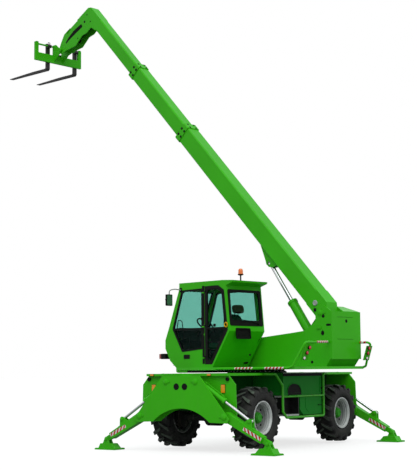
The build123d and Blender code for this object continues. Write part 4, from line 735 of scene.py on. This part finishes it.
form.tube([(LOCKER_FACE + out, y, 0.8) for out, y in ((0.004, 0.6), (0.034, 0.6), (0.034, 0.7), (0.004, 0.7))],
          0.007, 0.012, 10)
form.lathe("x", (LOCKER_FACE, 0.747, 1.134), [(-0.006, 0.018), (0.004, 0.018), (0.007, 0.012)], 20)
for y in (-0.3, 0.3):
    form.box((-1.11, -1.1), about(y, 0.03), (1.345, 1.385))
    form.lathe("x", (-1.11, y, 1.365), [(0, 0.014), (-0.006, 0.014), (-0.008, 0.01)], 16)
form.piece("locker_handles", [black], "chassis", 0.001)

# The amber reflector glows with the lamp lens: painted light, since it is no lamp.
form.box((LOCKER_FACE + 0.007, LOCKER_FACE + 0.012), (0.338, 0.418), (0.988, 1.005))
form.finish = 1
form.box((LOCKER_FACE, LOCKER_FACE + 0.007), (0.333, 0.423), (0.985, 1.008))
form.piece("locker_reflector", [amber, black], "chassis", 0.001)


# -------- turntable and guard tubes
# The turret's base plate on its slewing ring, and green tubes that guard its edges and rise to the
# rear. Red and white tape is wrapped round the tubes, and a pan closes the plate under the cab.
SLEW = -98.5
RING_TOP = 1.5068
PAN_BOTTOM = 1.457
GUARD_X = 1.145
GUARD_Z = 1.533
TAPE_RADIUS = 0.0227
REAR_GUARD = (Vector((0.93, 2.085, 2.01)), Vector((-0.068, 1.8, 2.035)))
turret = Matrix.Rotation(radians(SLEW), 4, "Z")
DRAWN.update({"turret": turret, "cab_door": turret})

ring_finish = Finish("base_and_ring", Coat_Roughness=0.2, Specular_IOR_Level=0.22)
ring_mask = ring_finish.axis("Z") < RING_TOP
dust = ring_finish.band(ring_finish.noise(5.0, 5.0), 0.5, 0.8)
dress(ring_finish.feed(
    Base_Color=ring_finish.mix(ring_mask, ring_finish.mix(dust * 0.25, GREEN, hue(116, 122, 92)),
                               hue(42, 44, 42)),
    Roughness=0.36 + ring_mask * 0.2 + dust * 0.2,
    Normal=ring_finish.bump(ring_finish.noise(160.0), 0.12, 0.001)), "turntable")
dress(green, "guard_tubes")

for x, y in circle(36, 0.575):
    form.bolt((x, y, 1.4705), (0, 0, 1), 0.013, 0.014)
form.piece("slew_bolts", [steel], "chassis")


def wrap(start, end, stripe=0.044, slant=0.02):
    """Red and white tape round a tube: the form's finishes 0 and 1 take turns."""
    first = Vector(start)
    run = Vector(end) - first
    way = run.normalized()
    side = way.orthogonal().normalized()
    count = max(2, round((run.length - 2 * slant) / stripe))
    tilted = [(slant + (run.length - 2 * slant) * i / count, slant) for i in range(count + 1)]
    edges = [(0, 0)] + tilted + [(run.length, 0)]
    rings = [form.hoop(first + way * at, side + way * tilt / TAPE_RADIUS, way.cross(side), TAPE_RADIUS, 16)
             for at, tilt in edges]
    for i in range(len(rings) - 1):
        form.finish = i % 2
        form.skin(rings[i:i + 2], caps=False)


for x in (GUARD_X, -GUARD_X):
    for near, far in ((0.449, 0.924), (1.221, 1.697)):
        wrap((x, near, GUARD_Z), (x, far, GUARD_Z))
wrap(*(REAR_GUARD[0].lerp(REAR_GUARD[1], share) for share in (0.41, 0.93)))
wrap((-0.965, 2.04, 2.025), (-0.965, 1.884, 2.025), 0.055)
form.piece("guard_tape", tapes, "turret")

form.prism("x", [(0.955, RING_TOP), (0.955, PAN_BOTTOM), (1.22, PAN_BOTTOM), (1.262, 1.476), (1.268, RING_TOP)],
           0.86, 1.045)
form.finish = 1
form.box((0.1, 0.86), (-1.18, -0.66), (PAN_BOTTOM, RING_TOP))
form.box((0.86, 1.03), (-0.95, -0.5), (PAN_BOTTOM, RING_TOP))
form.piece("cab_underpan", [green, black], "turret", 0.003)


# -------- tail lamps
# Two slanted brackets beside the guard legs, each with two red lamps above a white one. The lenses
# sit in black rubber rims.
BRACKET_BACK = 2.1251
TAIL_LAMPS = ((0.918, 0.015, 1.908, 2), (0.94, -0.033, 1.812, 2), (0.968, -0.083, 1.72, 3))
red_lens = lens("red_lens", hue(190, 22, 24), 0.12)
clear_lens = lens("clear_lens", hue(225, 225, 220), 0.1)
for hand in (1, -1):
    form.finish = 0
    for near, far, top, bottom in ((0.872, 1.043, 0.008, 0.104), (0.872, 0.877, 0.02, 0.116),
                                   (1.038, 1.043, 0.02, 0.116)):
        form.prism("x", [(-BRACKET_BACK, 1.955), (top - BRACKET_BACK, 1.955), (bottom - BRACKET_BACK, 1.675),
                         (0.096 - BRACKET_BACK, 1.675)], hand * near, hand * far)
    for x, back, z, colour in TAIL_LAMPS:
        place = (hand * x, BRACKET_BACK + back, z)
        form.finish = 1
        form.lathe("y", place, [(-0.034, 0.026), (-0.02, 0.035), (-0.002, 0.0378), (0.006, 0.0378),
                                (0.008, 0.034), (0.002, 0.033), (0.002, 0.0)], 28)
        form.finish = colour
        form.lathe("y", place, [(0.002, 0.033), (0.007, 0.03), (0.01, 0.022), (0.0115, 0.0)], 28)
form.piece("tail_lamp_sets", [green, black, red_lens, clear_lens], "turret",
           replaces="tail_lamps")


# -------- boom cheeks and rear body
# Tall plates carry the boom's pivot, with the counterweight and the hood over the pumps behind and
# beside them. Holes, keeper plates, hood seams and latches break up the painted faces; the holes are
# flat dark prints, painted shade in place of real openings.
BOOM_X = -0.275
CHEEK_OUT = 0.2
CHEEK_FACE = BOOM_X + CHEEK_OUT
HOOD_FACE = -0.99
REAR_WALL_FACE = 1.88
BOOM_PIVOT = (-1.6, 2.6)
LIFT_PIN = (-1.31, 2.03)
# How far a dark print lies above its face: on a hole it is painted shade, on a seam a dark joint.
PRINT = (0.0002, 0.0008)
dress(green, "boom_cheeks", "rear_body")
painted_hole_shade_and_seam = Finish("painted_hole_shade_and_seam", Roughness=0.9, Specular_IOR_Level=0.1)
painted_hole_shade_and_seam = painted_hole_shade_and_seam.feed(Base_Color=painted_hole_shade_and_seam.mix(painted_hole_shade_and_seam.noise(20.0), hue(14, 18, 14), hue(26, 30, 26)))
for forward, z, r in ((-1.672, 2.535, 0.036), (-1.377, 1.646, 0.03)):
    form.lathe("x", (CHEEK_FACE, -forward, z), [(PRINT[0], r), (PRINT[1], r - 0.001)], 28)
oval = [(-1.652 + 0.8 * a, 2.206 + b) for a, b in circle(12, 0.05)]
for outline in (oblong((-1.858, -1.742), (2.34, 2.384)), oval):
    form.prism("x", rounded(outline, 0.022), *(CHEEK_FACE + out for out in PRINT))
form.lathe("y", (-0.536, REAR_WALL_FACE, 2.44), [(PRINT[0], 0.035), (PRINT[1], 0.034)], 28)
for z in (2.515, 2.086):
    form.box((-0.74, -0.245), [REAR_WALL_FACE + out for out in PRINT], about(z, 0.003))
for forward in (-0.55, 0.1):
    form.prism("x", oblong(about(forward, 0.003), (1.62, 2.02)), *(HOOD_FACE - out for out in PRINT))
form.piece("body_hole_shade_and_seams", [painted_hole_shade_and_seam], "turret")

for (forward, z), r in ((BOOM_PIVOT, 0.045), (LIFT_PIN, 0.04)):
    for hand in (1, -1):
        form.lathe("x", (BOOM_X + hand * (CHEEK_OUT + 0.014), -forward, z), [
            (-hand * 0.013, r * 1.5), (-hand * 0.008, r * 1.5), (-hand * 0.006, r + 0.0005),
            (hand * 0.0005, r + 0.0005), (hand * 0.003, r * 0.85)])
        face, top = (BOOM_X + hand * (CHEEK_OUT + out) for out in (0, 0.008))
        form.box((face, top), (-forward + r + 0.01, -forward + r + 0.085), about(z, 0.02))
        form.bolt((top, -forward + r + 0.065, z), (hand, 0, 0), 0.01, 0.01)
for x in (-0.06, -0.49):
    form.box(about(x, 0.008), (1.52, 1.62), (2.292, 2.33))
form.piece("pivot_keepers", [green], "turret", 0.001)

form.box((CHEEK_FACE - 0.018, CHEEK_FACE + 0.004), (1.44, 1.505), (2.63, 2.695))
for y in (0.62, 0.02, -0.4):
    form.box((HOOD_FACE - 0.009, HOOD_FACE), about(y, 0.03), about(1.985, 0.02))
    form.lathe("x", (HOOD_FACE - 0.009, y, 1.985), [(0, 0.013), (-0.006, 0.013), (-0.008, 0.009)], 16)
form.piece("hood_latches", [black], "turret", 0.002)


# -------- cab shell
# Folded steel cab with black rubber seals round every window, a black cover on the hinge post, a
# louvred vent and a wiper at the rear window, and lamps on the roof and the nose.
CAB_FACE = 1.06
CAB_RIGHT = 0.02
FRONT_SIDE_WINDOW = [(0.5, 1.935), (1.07, 1.885), (1.335, 2.345), (1.075, 3.11), (0.5, 3.125)]
DOOR_WINDOW = [(0.375, 1.69), (0.375, 3.115), (0.075, 3.12), (-0.048, 3.05), (-0.13, 2.3), (0.262, 1.69)]
RIGHT_WINDOW = [(0.06, 2.15), (1.25, 2.15), (1.32, 2.36), (1.07, 3.11), (0.0, 3.12), (-0.08, 2.4)]
REAR_WINDOW = oblong((0.095, 0.985), (2.46, 3.06))
REAR_SURROUND = oblong((0.05, 1.03), (2.372, 3.092))
SCREEN = [(1.502, 2.185), (1.428, 2.395), (1.142, 3.135)]
dress(green, "cab_shell")


def rear(x, out, z):
    """A point on the leaning rear wall, or out of it."""
    return x, 0.235 - (z - 2.27) * 0.0944 + out, z


CROSSWISE["rear"] = lambda a, b, t: rear(a, t, b)
for window, low, high in ((FRONT_SIDE_WINDOW, CAB_FACE - 0.03, CAB_FACE + 0.004),
                          (RIGHT_WINDOW, CAB_RIGHT - 0.004, CAB_RIGHT + 0.03)):
    form.frame("x", rounded(offset(window, 0.012), 0.03), rounded(offset(window, -0.024), 0.06), low, high)
form.frame("rear", rounded(REAR_SURROUND, 0.05), rounded(offset(REAR_WINDOW, -0.022), 0.06), -0.03, 0.006)
form.lathe("y", rear(0.19, 0.0, 2.42), [(0.004, 0.024), (0.022, 0.022), (0.026, 0.012)], 20)
form.tube([rear(0.19, 0.018, 2.42), rear(0.42, 0.026, 2.47), rear(0.76, 0.016, 2.5)], 0.0065, 0.05, 8)
form.tube([rear(0.52, 0.012, 2.48), rear(0.9, 0.012, 2.512)], 0.006, segments=8)
for x, way in ((0.075, -1), (1.005, 1)):
    profile = [(f + 0.012, z) for f, z in SCREEN] + [(f - 0.02, z) for f, z in SCREEN[::-1]]
    form.prism("x", profile, x + way * 0.012, x - way * 0.024)
for f, z in (SCREEN[0], SCREEN[2]):
    form.box((0.075, 1.005), (-f - 0.012, -f + 0.022), about(z, 0.022))
form.piece("window_seals", [black], "turret")

form.prism("x", oblong((0.438, 0.499), (1.632, 3.185)), CAB_FACE, CAB_FACE + 0.0035)
form.prism("x", [(0.492, 2.312), (1.315, 2.312), (1.325, 2.35), (0.492, 2.35)], CAB_FACE - 0.028,
           CAB_FACE + 0.005)
form.prism("x", rounded(oblong((0.856, 1.026), (1.734, 1.82)), 0.01), CAB_FACE, CAB_FACE + 0.006)
form.prism("rear", oblong((0.47, 0.858), (2.13, 2.312)), 0.0004, 0.0012)
for i in range(7):
    z = 2.142 + i * 0.024
    form.skin([[rear(x, 0.001, z), (x, rear(x, 0.012, z)[1], z - 0.004), rear(x, 0.001, z + 0.014)]
               for x in (0.478, 0.85)])
form.frame("rear", rounded(oblong((0.452, 0.876), (2.112, 2.33)), 0.035),
           rounded(oblong((0.474, 0.854), (2.136, 2.306)), 0.02), -0.004, 0.018)
form.lathe("y", rear(0.519, 0.0, 1.801), [(-0.002, 0.022), (0.006, 0.022), (0.01, 0.016)], 20)
form.piece("cab_trim", [black], "turret")

for z in (3.071, 2.396, 2.214):
    form.lathe("x", (CAB_FACE + 0.0035, -0.442, z), [(0, 0.016), (0.006, 0.015), (0.008, 0.009)], 16)
form.piece("hinge_caps", [green], "turret")

nose_lens = lens("nose_lens", hue(150, 40, 20), 0.08)
ROOF_LAMPS = (0.955, 0.12)
NOSE_LAMPS = (0.95, 0.13)
# Finish, places, half width, rounding and outline of each block of the lamps.
LAMP_BLOCKS = (
    (0, ROOF_LAMPS, 0.055, 0.012, [(1.15, 3.1), (1.205, 3.094), (1.205, 3.186), (1.15, 3.18)]),
    (1, ROOF_LAMPS, 0.048, 0.002, [(1.205, 3.1), (1.21, 3.104), (1.21, 3.176), (1.205, 3.18)]),
    (0, NOSE_LAMPS, 0.022, 0, [(1.455, 1.77), (1.64, 1.77), (1.64, 1.812), (1.475, 1.812)]),
    (0, NOSE_LAMPS, 0.062, 0.012, oblong((1.612, 1.742), (1.74, 1.852))),
    (1, NOSE_LAMPS, 0.044, 0.001, oblong((1.795, 1.8), (1.758, 1.834))),
    (2, NOSE_LAMPS, 0.058, 0.008, [(1.742, 1.744), (1.795, 1.748), (1.795, 1.844), (1.742, 1.848)]))
for x in ROOF_LAMPS:
    form.tube([(x, -1.13, 3.14), (x, -1.165, 3.14)], 0.01, segments=10)
for form.finish, places, half, bend, outline in LAMP_BLOCKS:
    for x in places:
        form.prism("x", rounded(outline, bend) if bend else outline, *about(x, half))
form.piece("work_lamps", [black, clear_lens, nose_lens], "turret", 0.002)

form.box((0.062, 1.018), (-1.375, -0.262), (1.6055, 1.615))
form.prism("x", [(0.235, 1.62), (1.22, 1.62), (1.375, 1.735), (1.502, 1.965), (1.502, 2.1), (1.495, 2.125),
                 (-0.15, 2.125)], CAB_RIGHT + 0.0455, CAB_RIGHT + 0.0515)
form.prism("x", [(0.252, 1.62), (0.246, 1.62), (-0.176, 2.28), (-0.16, 2.44), (-0.152, 2.44), (-0.168, 2.28)],
           0.066, 1.013)
form.piece("cab_lining", [black], "turret")


# -------- glass
# Tinted safety glass in the cab's fixed windows, flat but for the screen, which bends at its foot.
# Each pane sits in its seal, and the door's pane takes the same tint.
GLASS_THICKNESS = 0.006
GLASS_TINT = (0.64, 0.86, 0.81, 1)
LEFT_PANE = (CAB_FACE - 0.022, CAB_FACE - 0.022 + GLASS_THICKNESS)
glass = Finish("tinted_glass", Roughness=0.04, Coat_Weight=0.0, Specular_IOR_Level=0.5,
               Base_Color=hue(26, 60, 52))
smears = glass.band(glass.noise(3.0, 4.0, (1, 1, 3)), 0.45, 0.8)
glass = glass.show(0.06 + smears * 0.03, glass.node("ShaderNodeBsdfTransparent", {}, {"Color": GLASS_TINT}),
                   glass.main())
form.prism("x", rounded(FRONT_SIDE_WINDOW, 0.05), *LEFT_PANE)
form.prism("x", rounded(RIGHT_WINDOW, 0.05), CAB_RIGHT + 0.022, CAB_RIGHT + 0.022 + GLASS_THICKNESS)
form.prism("rear", rounded(offset(REAR_WINDOW, -0.002), 0.04), -0.014, -0.014 + GLASS_THICKNESS)
screen = [(1.5, 2.2), (1.487, 2.262), (1.47, 2.32), (1.449, 2.372), (1.425, 2.43), (1.146, 3.12)]
form.prism("x", screen + [(f - GLASS_THICKNESS, z) for f, z in screen[::-1]], 0.077, 1.003)
form.piece("window_glass", [glass], "turret", replaces="cab_panes")


# -------- cab door
# Black tubular door with one tall pane, a glazing bar at the waist and a yellow ring that pulls
# the latch. It swings on the black hinge post.
dress(paint("black_enamel", hue(12, 13, 12), rough=0.35), "door_frame")
form.prism("x", rounded(DOOR_WINDOW, 0.05), *LEFT_PANE)
form.piece("door_glass", [glass], "cab_door", replaces="door_pane")
form.frame("x", rounded(offset(DOOR_WINDOW, 0.01), 0.03), rounded(offset(DOOR_WINDOW, -0.018), 0.06),
           CAB_FACE - 0.028, CAB_FACE + 0.003)
form.prism("x", [(-0.115, 2.312), (0.378, 2.312), (0.378, 2.35), (-0.11, 2.35)], CAB_FACE - 0.028,
           CAB_FACE + 0.004)
form.piece("door_seal", [black], "cab_door")
yellow = paint("yellow_enamel", hue(238, 176, 22), rough=0.3)
ring = circle(20, 1)
form.tube([(CAB_FACE + 0.018, 0.16 + 0.036 * a, 2.39 + 0.044 * b) for a, b in ring + ring[:1]],
          0.011, segments=10)
form.tube([(CAB_FACE - 0.002, 0.13, 2.41), (CAB_FACE + 0.016, 0.13, 2.41)], 0.008, segments=10)
form.finish = 1
form.lathe("x", (CAB_FACE + 0.004, -0.16, 2.39), [(-0.006, 0.032), (0.008, 0.032), (0.011, 0.026)], 24)
form.piece("door_ring", [yellow, black], "cab_door")


# -------- seat and console
# Sprung seat with crowned foam cushions in green cloth and a brown headrest, on a black base.
# The black dash carries the wheel, levers stand on both armrests and a console is on the right.
SEAT_X = 0.54
CAB_FLOOR = 1.605


def cloth(name, colour):
    """Woven seat cloth with a fine cross weave and rubbed patches."""
    finish = Finish(name, Roughness=0.85, Specular_IOR_Level=0.2)
    weft = finish.wave("Z", 90.0)
    warp = finish.wave("X", 90.0)
    worn = finish.band(finish.noise(5.0, 4.0), 0.4, 0.8)
    return finish.feed(Base_Color=finish.mix(worn * 0.4, colour, dimmed(colour, 0.6)),
                       Normal=finish.bump(weft * warp + worn * 0.3, 0.3, 0.002))


def bulge(value, power):
    """The value raised to a power, with its sign kept."""
    return (1 if value > 0 else -1) * abs(value) ** power


def cushion(name, material, centre, size, lean_back, bolster):
    """Crowned pad: a superellipse box whose faces swell and whose edges pull in at a welt."""
    wide, deep, high = (side / 2 for side in size)
    loops = []
    for i in range(15):
        t = -pi / 2 + pi * i / 14
        up = high * bulge(sin(t), 0.55)
        spread = abs(cos(t)) ** 0.32
        rise = bolster * (1 if up > 0 else 0.2)
        around = [(bulge(a, 0.5), bulge(b, 0.5)) for a, b in circle(28, 1)]
        loops.append([(wide * spread * x, deep * spread * y, up + rise * abs(x * spread) ** 3)
                      for x, y in around])
    form.skin(loops)
    made = form.piece(name, [material], "turret", sharp=60, replaces="cab_interior",
                      place=turret @ turned(centre, (lean_back, "X")))


def above(*points):
    """Points whose heights are counted from the cab's floor."""
    return [(*point[:-1], CAB_FLOOR + point[-1]) for point in points]


seat_cloth = cloth("seat_cloth", hue(22, 78, 44))
brown = cloth("headrest_cloth", hue(92, 62, 44))
for name, cover, (y, up), size, degrees, fill, bolster in (
        ("seat_cushion", seat_cloth, (-0.4, 0.365), (0.5, 0.54, 0.13), -4, 0.7, 0.03),
        ("seat_back", seat_cloth, (-0.105, 0.715), (0.48, 0.6, 0.12), 100, 0.7, 0.03),
        ("seat_headrest", brown, (-0.008, 1.11), (0.3, 0.17, 0.09), 100, 0.8, 0.0)):
    cushion(name, cover, (SEAT_X, y, CAB_FLOOR + up), size, radians(degrees), bolster)
# Half width, near and far edge, bottom and top of each plate of the base and of its bellows.
plates = [(0.17, -0.62, -0.26, 0.01, 0.1), (0.19, -0.64, -0.22, 0.282, 0.305)]
for z in (0.1 + i * 0.026 for i in range(7)):
    plates += [(0.15, -0.6, -0.28, z, z + 0.016), (0.14, -0.59, -0.29, z + 0.016, z + 0.026)]
for half, near, far, low, high in plates:
    form.box(about(SEAT_X, half), (near, far), (CAB_FLOOR + low, CAB_FLOOR + high))
for x in about(SEAT_X, 0.05):
    form.tube(above((x, -0.06, 0.95), (x, -0.04, 1.09)), 0.007, segments=8)
for x in about(SEAT_X, 0.285):
    form.prism("x", rounded(above((0.06, 0.52), (0.42, 0.54), (0.44, 0.58), (0.06, 0.59)), 0.02),
               *about(x, 0.035))
    form.tube(above((x, -0.1, 0.3), (x, -0.1, 0.53)), 0.014, segments=10)
    form.tube(above((x, -0.375, 0.565), (x, -0.405, 0.665)), 0.009, segments=10)
    form.lathe("z", (x, -0.408, CAB_FLOOR + 0.675),
               [(-0.02, 0.012), (0.0, 0.022), (0.04, 0.026), (0.07, 0.018), (0.078, 0.006)], 16)
form.piece("seat_base", [black], "turret", 0.002, replaces="cab_interior")

dash = above((1.205, 0.01), (1.065, 0.01), (1.085, 0.4), (1.06, 0.47), (1.11, 0.545), (1.19, 0.56),
             (1.37, 0.515), (1.355, 0.15))
form.prism("x", rounded(dash, 0.03), *about(SEAT_X, 0.295))
form.prism("x", rounded(above((1.045, 0.46), (1.03, 0.5), (1.105, 0.6), (1.15, 0.575)), 0.012),
           SEAT_X + 0.06, SEAT_X + 0.27)
for x in (-0.1, 0.0, 0.11):
    form.box(about(SEAT_X + x, 0.03), (-1.02, -0.94), (CAB_FLOOR + 0.011, CAB_FLOOR + 0.022))
wheel_centre = Vector((SEAT_X, -0.925, CAB_FLOOR + 0.835))
column = Vector((0, 220, 240)).normalized()
upward = column.cross(AXES["x"])
form.tube([(SEAT_X, -1.15, CAB_FLOOR + 0.58), wheel_centre - column * 0.02], 0.028, segments=16)
form.tube([wheel_centre - column * 0.03, wheel_centre + column * 0.012], 0.042, segments=20)
rim = form.hoop(wheel_centre, AXES["x"], upward, 0.182, 36)
form.tube(rim + rim[:1], 0.015, segments=10, steps=1)
for turn in (0.3, pi - 0.3, 1.5 * pi):
    spoke = AXES["x"] * cos(turn) + upward * sin(turn)
    form.tube([wheel_centre + spoke * 0.03 - column * 0.01, wheel_centre + spoke * 0.178], 0.01, segments=8)
cowl = [(1.13, 2.14), (1.11, 2.32), (1.19, 2.372), (1.385, 2.358), (1.45, 2.25), (1.47, 2.14)]
form.prism("x", rounded(cowl, 0.03), 0.11, 0.975)
side_console = [(0.16, 1.625), (0.16, 2.3), (0.3, 2.37), (1.02, 2.37), (1.1, 2.2), (1.1, 1.625)]
form.prism("x", rounded(side_console, 0.04), 0.085, 0.2)
form.tube([(0.95, -1.33, 2.35), (0.95, -1.29, 2.53), (0.95, -1.18, 2.5), (0.95, -1.16, 2.35)], 0.009, 0.03, 8)
form.piece("dashboard", [black], "turret", 0.002, replaces="cab_interior")


# -------- mirror and beacon
# A rounded mirror head on a bent thin arm, with a black knob beside it, and a flashing beacon with
# a ribbed orange dome on a rubber stem.
BEACON = (0.6, 0.13, 3.2726)
silvered = Finish("mirror_glass", Metallic=0.55, Base_Color=hue(96, 158, 112))
silvered = silvered.feed(Roughness=0.12 + silvered.noise(40.0) * 0.1)
form.tube([(CAB_FACE + 0.012, -1.095, 3.13), (1.2, -1.13, 3.15), (1.33, -1.165, 3.12), (1.33, -1.165, 2.99)],
          0.011, 0.05, 12)
form.finish = 1
form.prism("y", rounded([(1.25, 2.815), (1.262, 2.806), (1.4, 2.806), (1.412, 2.815), (1.412, 3.03),
                         (1.396, 3.037), (1.264, 3.037), (1.25, 3.03)], 0.02), -1.192, -1.152)
form.prism("y", rounded(oblong((1.27, 1.392), (2.83, 3.014)), 0.03), -1.194, -1.1925)
form.box((CAB_FACE, CAB_FACE + 0.014), (-1.12, -1.07), (3.085, 3.175))
form.lathe("x", (1.412, -1.172, 2.93), [(-0.002, 0.013), (0.016, 0.013), (0.02, 0.008)], 20)
form.finish = 2
form.prism("y", rounded(oblong((1.262, 1.4), (2.822, 3.022)), 0.03), -1.152, -1.1505)
form.piece("mirror_set", [paint("grey_enamel", hue(150, 154, 150), rough=0.35), black, silvered], "turret",
           0.0015, replaces="mirror")

form.lathe("z", BEACON, [(0.138, 0.05), (0.15, 0.0495), (0.2, 0.047), (0.222, 0.044), (0.237, 0.036),
                         (0.245, 0.022), (0.2475, 0.0)])
form.finish = 1
form.lathe("z", BEACON, [(0.0, 0.03), (0.006, 0.03), (0.01, 0.0145), (0.105, 0.0145), (0.112, 0.04),
                         (0.119, 0.058), (0.133, 0.058), (0.138, 0.05)])
form.piece("beacon_dome", [lens("beacon_lens", hue(232, 112, 22), 0.16), black], "turret",
           replaces="beacon")


# -------- boom
# Three welded box sections, one in the other. Each collar has bolts through its wear pads, black
# pads show at its mouth, and a grey boss stands on the first section's side near the pivot.
BOOM_ANGLE = 46.55
BOOM_AXIS = 0.046
COLLAR_OUT = 0.1
BOSS = (0.165, -0.2455, 0.029)
# End of each section, half width and height of its collar, half width and height of the next section.
SECTIONS = {"outer": (5.575, 0.181, 0.206, 0.146, 0.164), "middle": (7.845, 0.162, 0.18, 0.12, 0.143)}
boom = turret @ turned((BOOM_X, -BOOM_PIVOT[0], BOOM_PIVOT[1]), (radians(-BOOM_ANGLE), "X"))
DRAWN.update({"outer_boom": boom, "middle_boom": boom, "inner_boom": boom})
dress(green, "outer_boom", "middle_boom", "inner_boom")
for name, (end, half_width, half_height, inner_width, inner_height) in SECTIONS.items():
    for s in (end - 0.03, end + 0.07):
        for hand in (1, -1):
            for up in (0.075, -0.075):
                form.bolt((hand * half_width, -s, BOOM_AXIS + up), (hand, 0, 0), 0.019, 0.011)
            form.bolt((hand * 0.09, -s, BOOM_AXIS + half_height), (0, 0, 1), 0.016, 0.01)
            form.bolt((hand * 0.09, -s, BOOM_AXIS - half_height), (0, 0, -1), 0.018, 0.012)
    form.piece(f"collar_bolts_{name}", [black], f"{name}_boom")
    mouth = (-end - COLLAR_OUT - 0.012, -end - COLLAR_OUT)
    for hand in (1, -1):
        for up in (0.062, -0.062):
            form.box((hand * (inner_width + 0.0012), hand * (half_width - 0.006)), mouth,
                     about(BOOM_AXIS + up, 0.038))
        for x in (0.065, -0.065):
            form.box(about(x, 0.042), mouth,
                     [BOOM_AXIS + hand * reach for reach in (inner_height + 0.0012, half_height - 0.006)])
    form.piece(f"wear_pads_{name}", [black], f"{name}_boom", 0.002)
form.lathe("x", BOSS, [(0, 0.056), (0.008, 0.056), (0.01, 0.05), (0.022, 0.048), (0.025, 0.04), (0.02, 0.03),
                       (0.02, 0.0)])
for y, z in circle(6, 0.04, BOSS[1:]):
    form.bolt((0.173, y, z), (1, 0, 0), 0.004, 0.016)
form.piece("boom_boss", [paint("grey_boss", hue(168, 172, 170), rough=0.35)], "outer_boom")


# -------- lift cylinder
# One large cylinder from the cheeks to a bracket under the boom, with a chromed rod, a gland
# collar and a steel oil pipe along the barrel.
LIFT_TOP = Vector((1.76, -0.302))
top = Vector(BOOM_PIVOT) + Matrix.Rotation(radians(BOOM_ANGLE), 2) @ LIFT_TOP
lift_slope = atan2(top.y - LIFT_PIN[1], top.x - LIFT_PIN[0])
DRAWN["lift_barrel"] = turret @ turned((BOOM_X, -LIFT_PIN[0], LIFT_PIN[1]), (-lift_slope, "X"), (-pi / 2, "Z"))
dress(green, "lift_barrel")
dress(chrome, "lift_rod", "tilt_rod")
form.lathe("x", (0, 0, 0), [(0.962, 0.1035), (0.966, 0.106), (1.01, 0.106), (1.018, 0.1), (1.0205, 0.08),
                            (1.0205, 0.046)], 40)
form.tube([(0.14, -0.088, 0), (0.16, -0.12, 0), (0.88, -0.12, 0), (0.93, -0.096, 0)], 0.012, 0.03, 10)
for s in (0.3, 0.72):
    form.box(about(s, 0.015), (-0.136, -0.09), about(0, 0.018))
form.piece("lift_gland", [green], "lift_barrel")


# -------- boom head and tilt cylinder
# The head droops from the third section and carries the carriage on a long pin. Openings lighten its
# cheeks; they are flat dark prints, painted shade in place of holes. Hoses leave the boom's end, pass
# the tilt cylinder and end in a black block.
TILT_BARREL = (10.19, -0.19)
TILT_PIN = (10.401, -1.195)
HEAD_OPENING = [(10.25, -0.296), (10.36, -0.561), (10.399, -0.818), (10.393, -0.967), (10.359, -0.975),
                (10.331, -0.836), (10.254, -0.589), (10.162, -0.318)]
dress(casting, "tilt_barrel")
for hand in (1, -1):
    at = hand * 0.12
    form.lathe("x", (at, -TILT_BARREL[0], TILT_BARREL[1]),
               [(-hand * 0.004, 0.03), (hand * 0.0012, 0.03), (hand * 0.003, 0.024)], 24)
    for y, z, radius in ((-10.02, -0.06, 0.011), (-10.24, -0.02, 0.011), (-10.1, -0.62, 0.01)):
        form.bolt((at, y, z), (hand, 0, 0), radius, 0.01)
form.piece("head_bolts", [black], "inner_boom")
# Dark prints on both cheeks: painted shade where the openings are.
for hand in (1, -1):
    form.prism("x", rounded(HEAD_OPENING, 0.03), hand * 0.1202, hand * 0.1208)
form.piece("head_opening_shade", [painted_hole_shade_and_seam], "inner_boom")
for x, sag in ((-0.045, 0.0), (0.0, 0.012), (0.045, 0.0)):
    form.tube([(x, -9.84, -0.105), (x, -9.95, -0.115 - sag), (x * 0.8, -10.06, -0.3), (x * 0.8, -10.14, -0.52),
               (x * 0.7, -10.2, -0.7)], 0.011, 0.09, 10)
form.box(about(0, 0.075), (-10.24, -10.16), (-0.78, -0.7))
form.piece("head_hoses", [black], "inner_boom", 0.002)


# -------- carriage and forks
# A green welded frame with keeper bolts at its pin, and two floating forks of dark forged steel.
# The blades are rubbed bright in streaks, and hook over a shaft across the frame.
DRAWN["carriage"] = boom @ turned((0, -TILT_PIN[0], TILT_PIN[1]), (radians(BOOM_ANGLE), "X"))
dress(green, "carriage")
forged = Finish("forged_forks", Specular_IOR_Level=0.4)
scale = forged.band(forged.noise(14.0, 6.0), 0.45, 0.75)
rub = forged.band(forged.noise(5.0, 4.0, (6, 1, 1)), 0.5, 0.8)
dress(forged.feed(
    Base_Color=forged.mix(scale, forged.mix(rub * 0.4, hue(38, 38, 40), hue(92, 90, 88)), hue(58, 54, 50)),
    Metallic=0.2 + rub * 0.4, Roughness=0.5 - rub * 0.15,
    Normal=forged.bump(scale + forged.noise(90.0, 3.0), 0.25, 0.0015)), "forks")
for hand in (1, -1):
    form.lathe("x", (hand * 0.163, 0, 0),
               [(-hand * 0.012, 0.044), (-hand * 0.006, 0.044), (-hand * 0.004, 0.031),
                (hand * 0.0006, 0.031), (hand * 0.003, 0.026)], 28)
    form.bolt((hand * 0.151, -0.075, 0.03), (hand, 0, 0), 0.009, 0.01)
    form.box((hand * 0.64, hand * 0.7), (-0.3, -0.23), (0.1605, 0.17))
    for up in (-0.245, -0.14):
        form.bolt((hand * 0.675, -0.295, up), (0, -1, 0), 0.011, 0.01)
form.piece("carriage_keepers", [green], "carriage")
for x in (0.285, -0.572):
    form.tube([(x + side, -0.265, z)
               for side, z in ((-0.028, 0.16), (-0.028, 0.205), (0.028, 0.205), (0.028, 0.16))],
              0.008, 0.012, 10)
    form.bolt((x, -0.338, 0.02), (0, -1, 0), 0.01, 0.01)
for x, z in ((0.02, -0.075), (0.09, -0.07), (-0.06, -0.078)):
    form.box(about(x, 0.025), (-0.29, -0.24), (z - 0.018, z + 0.028))
form.piece("fork_catches", [black], "carriage", 0.002)
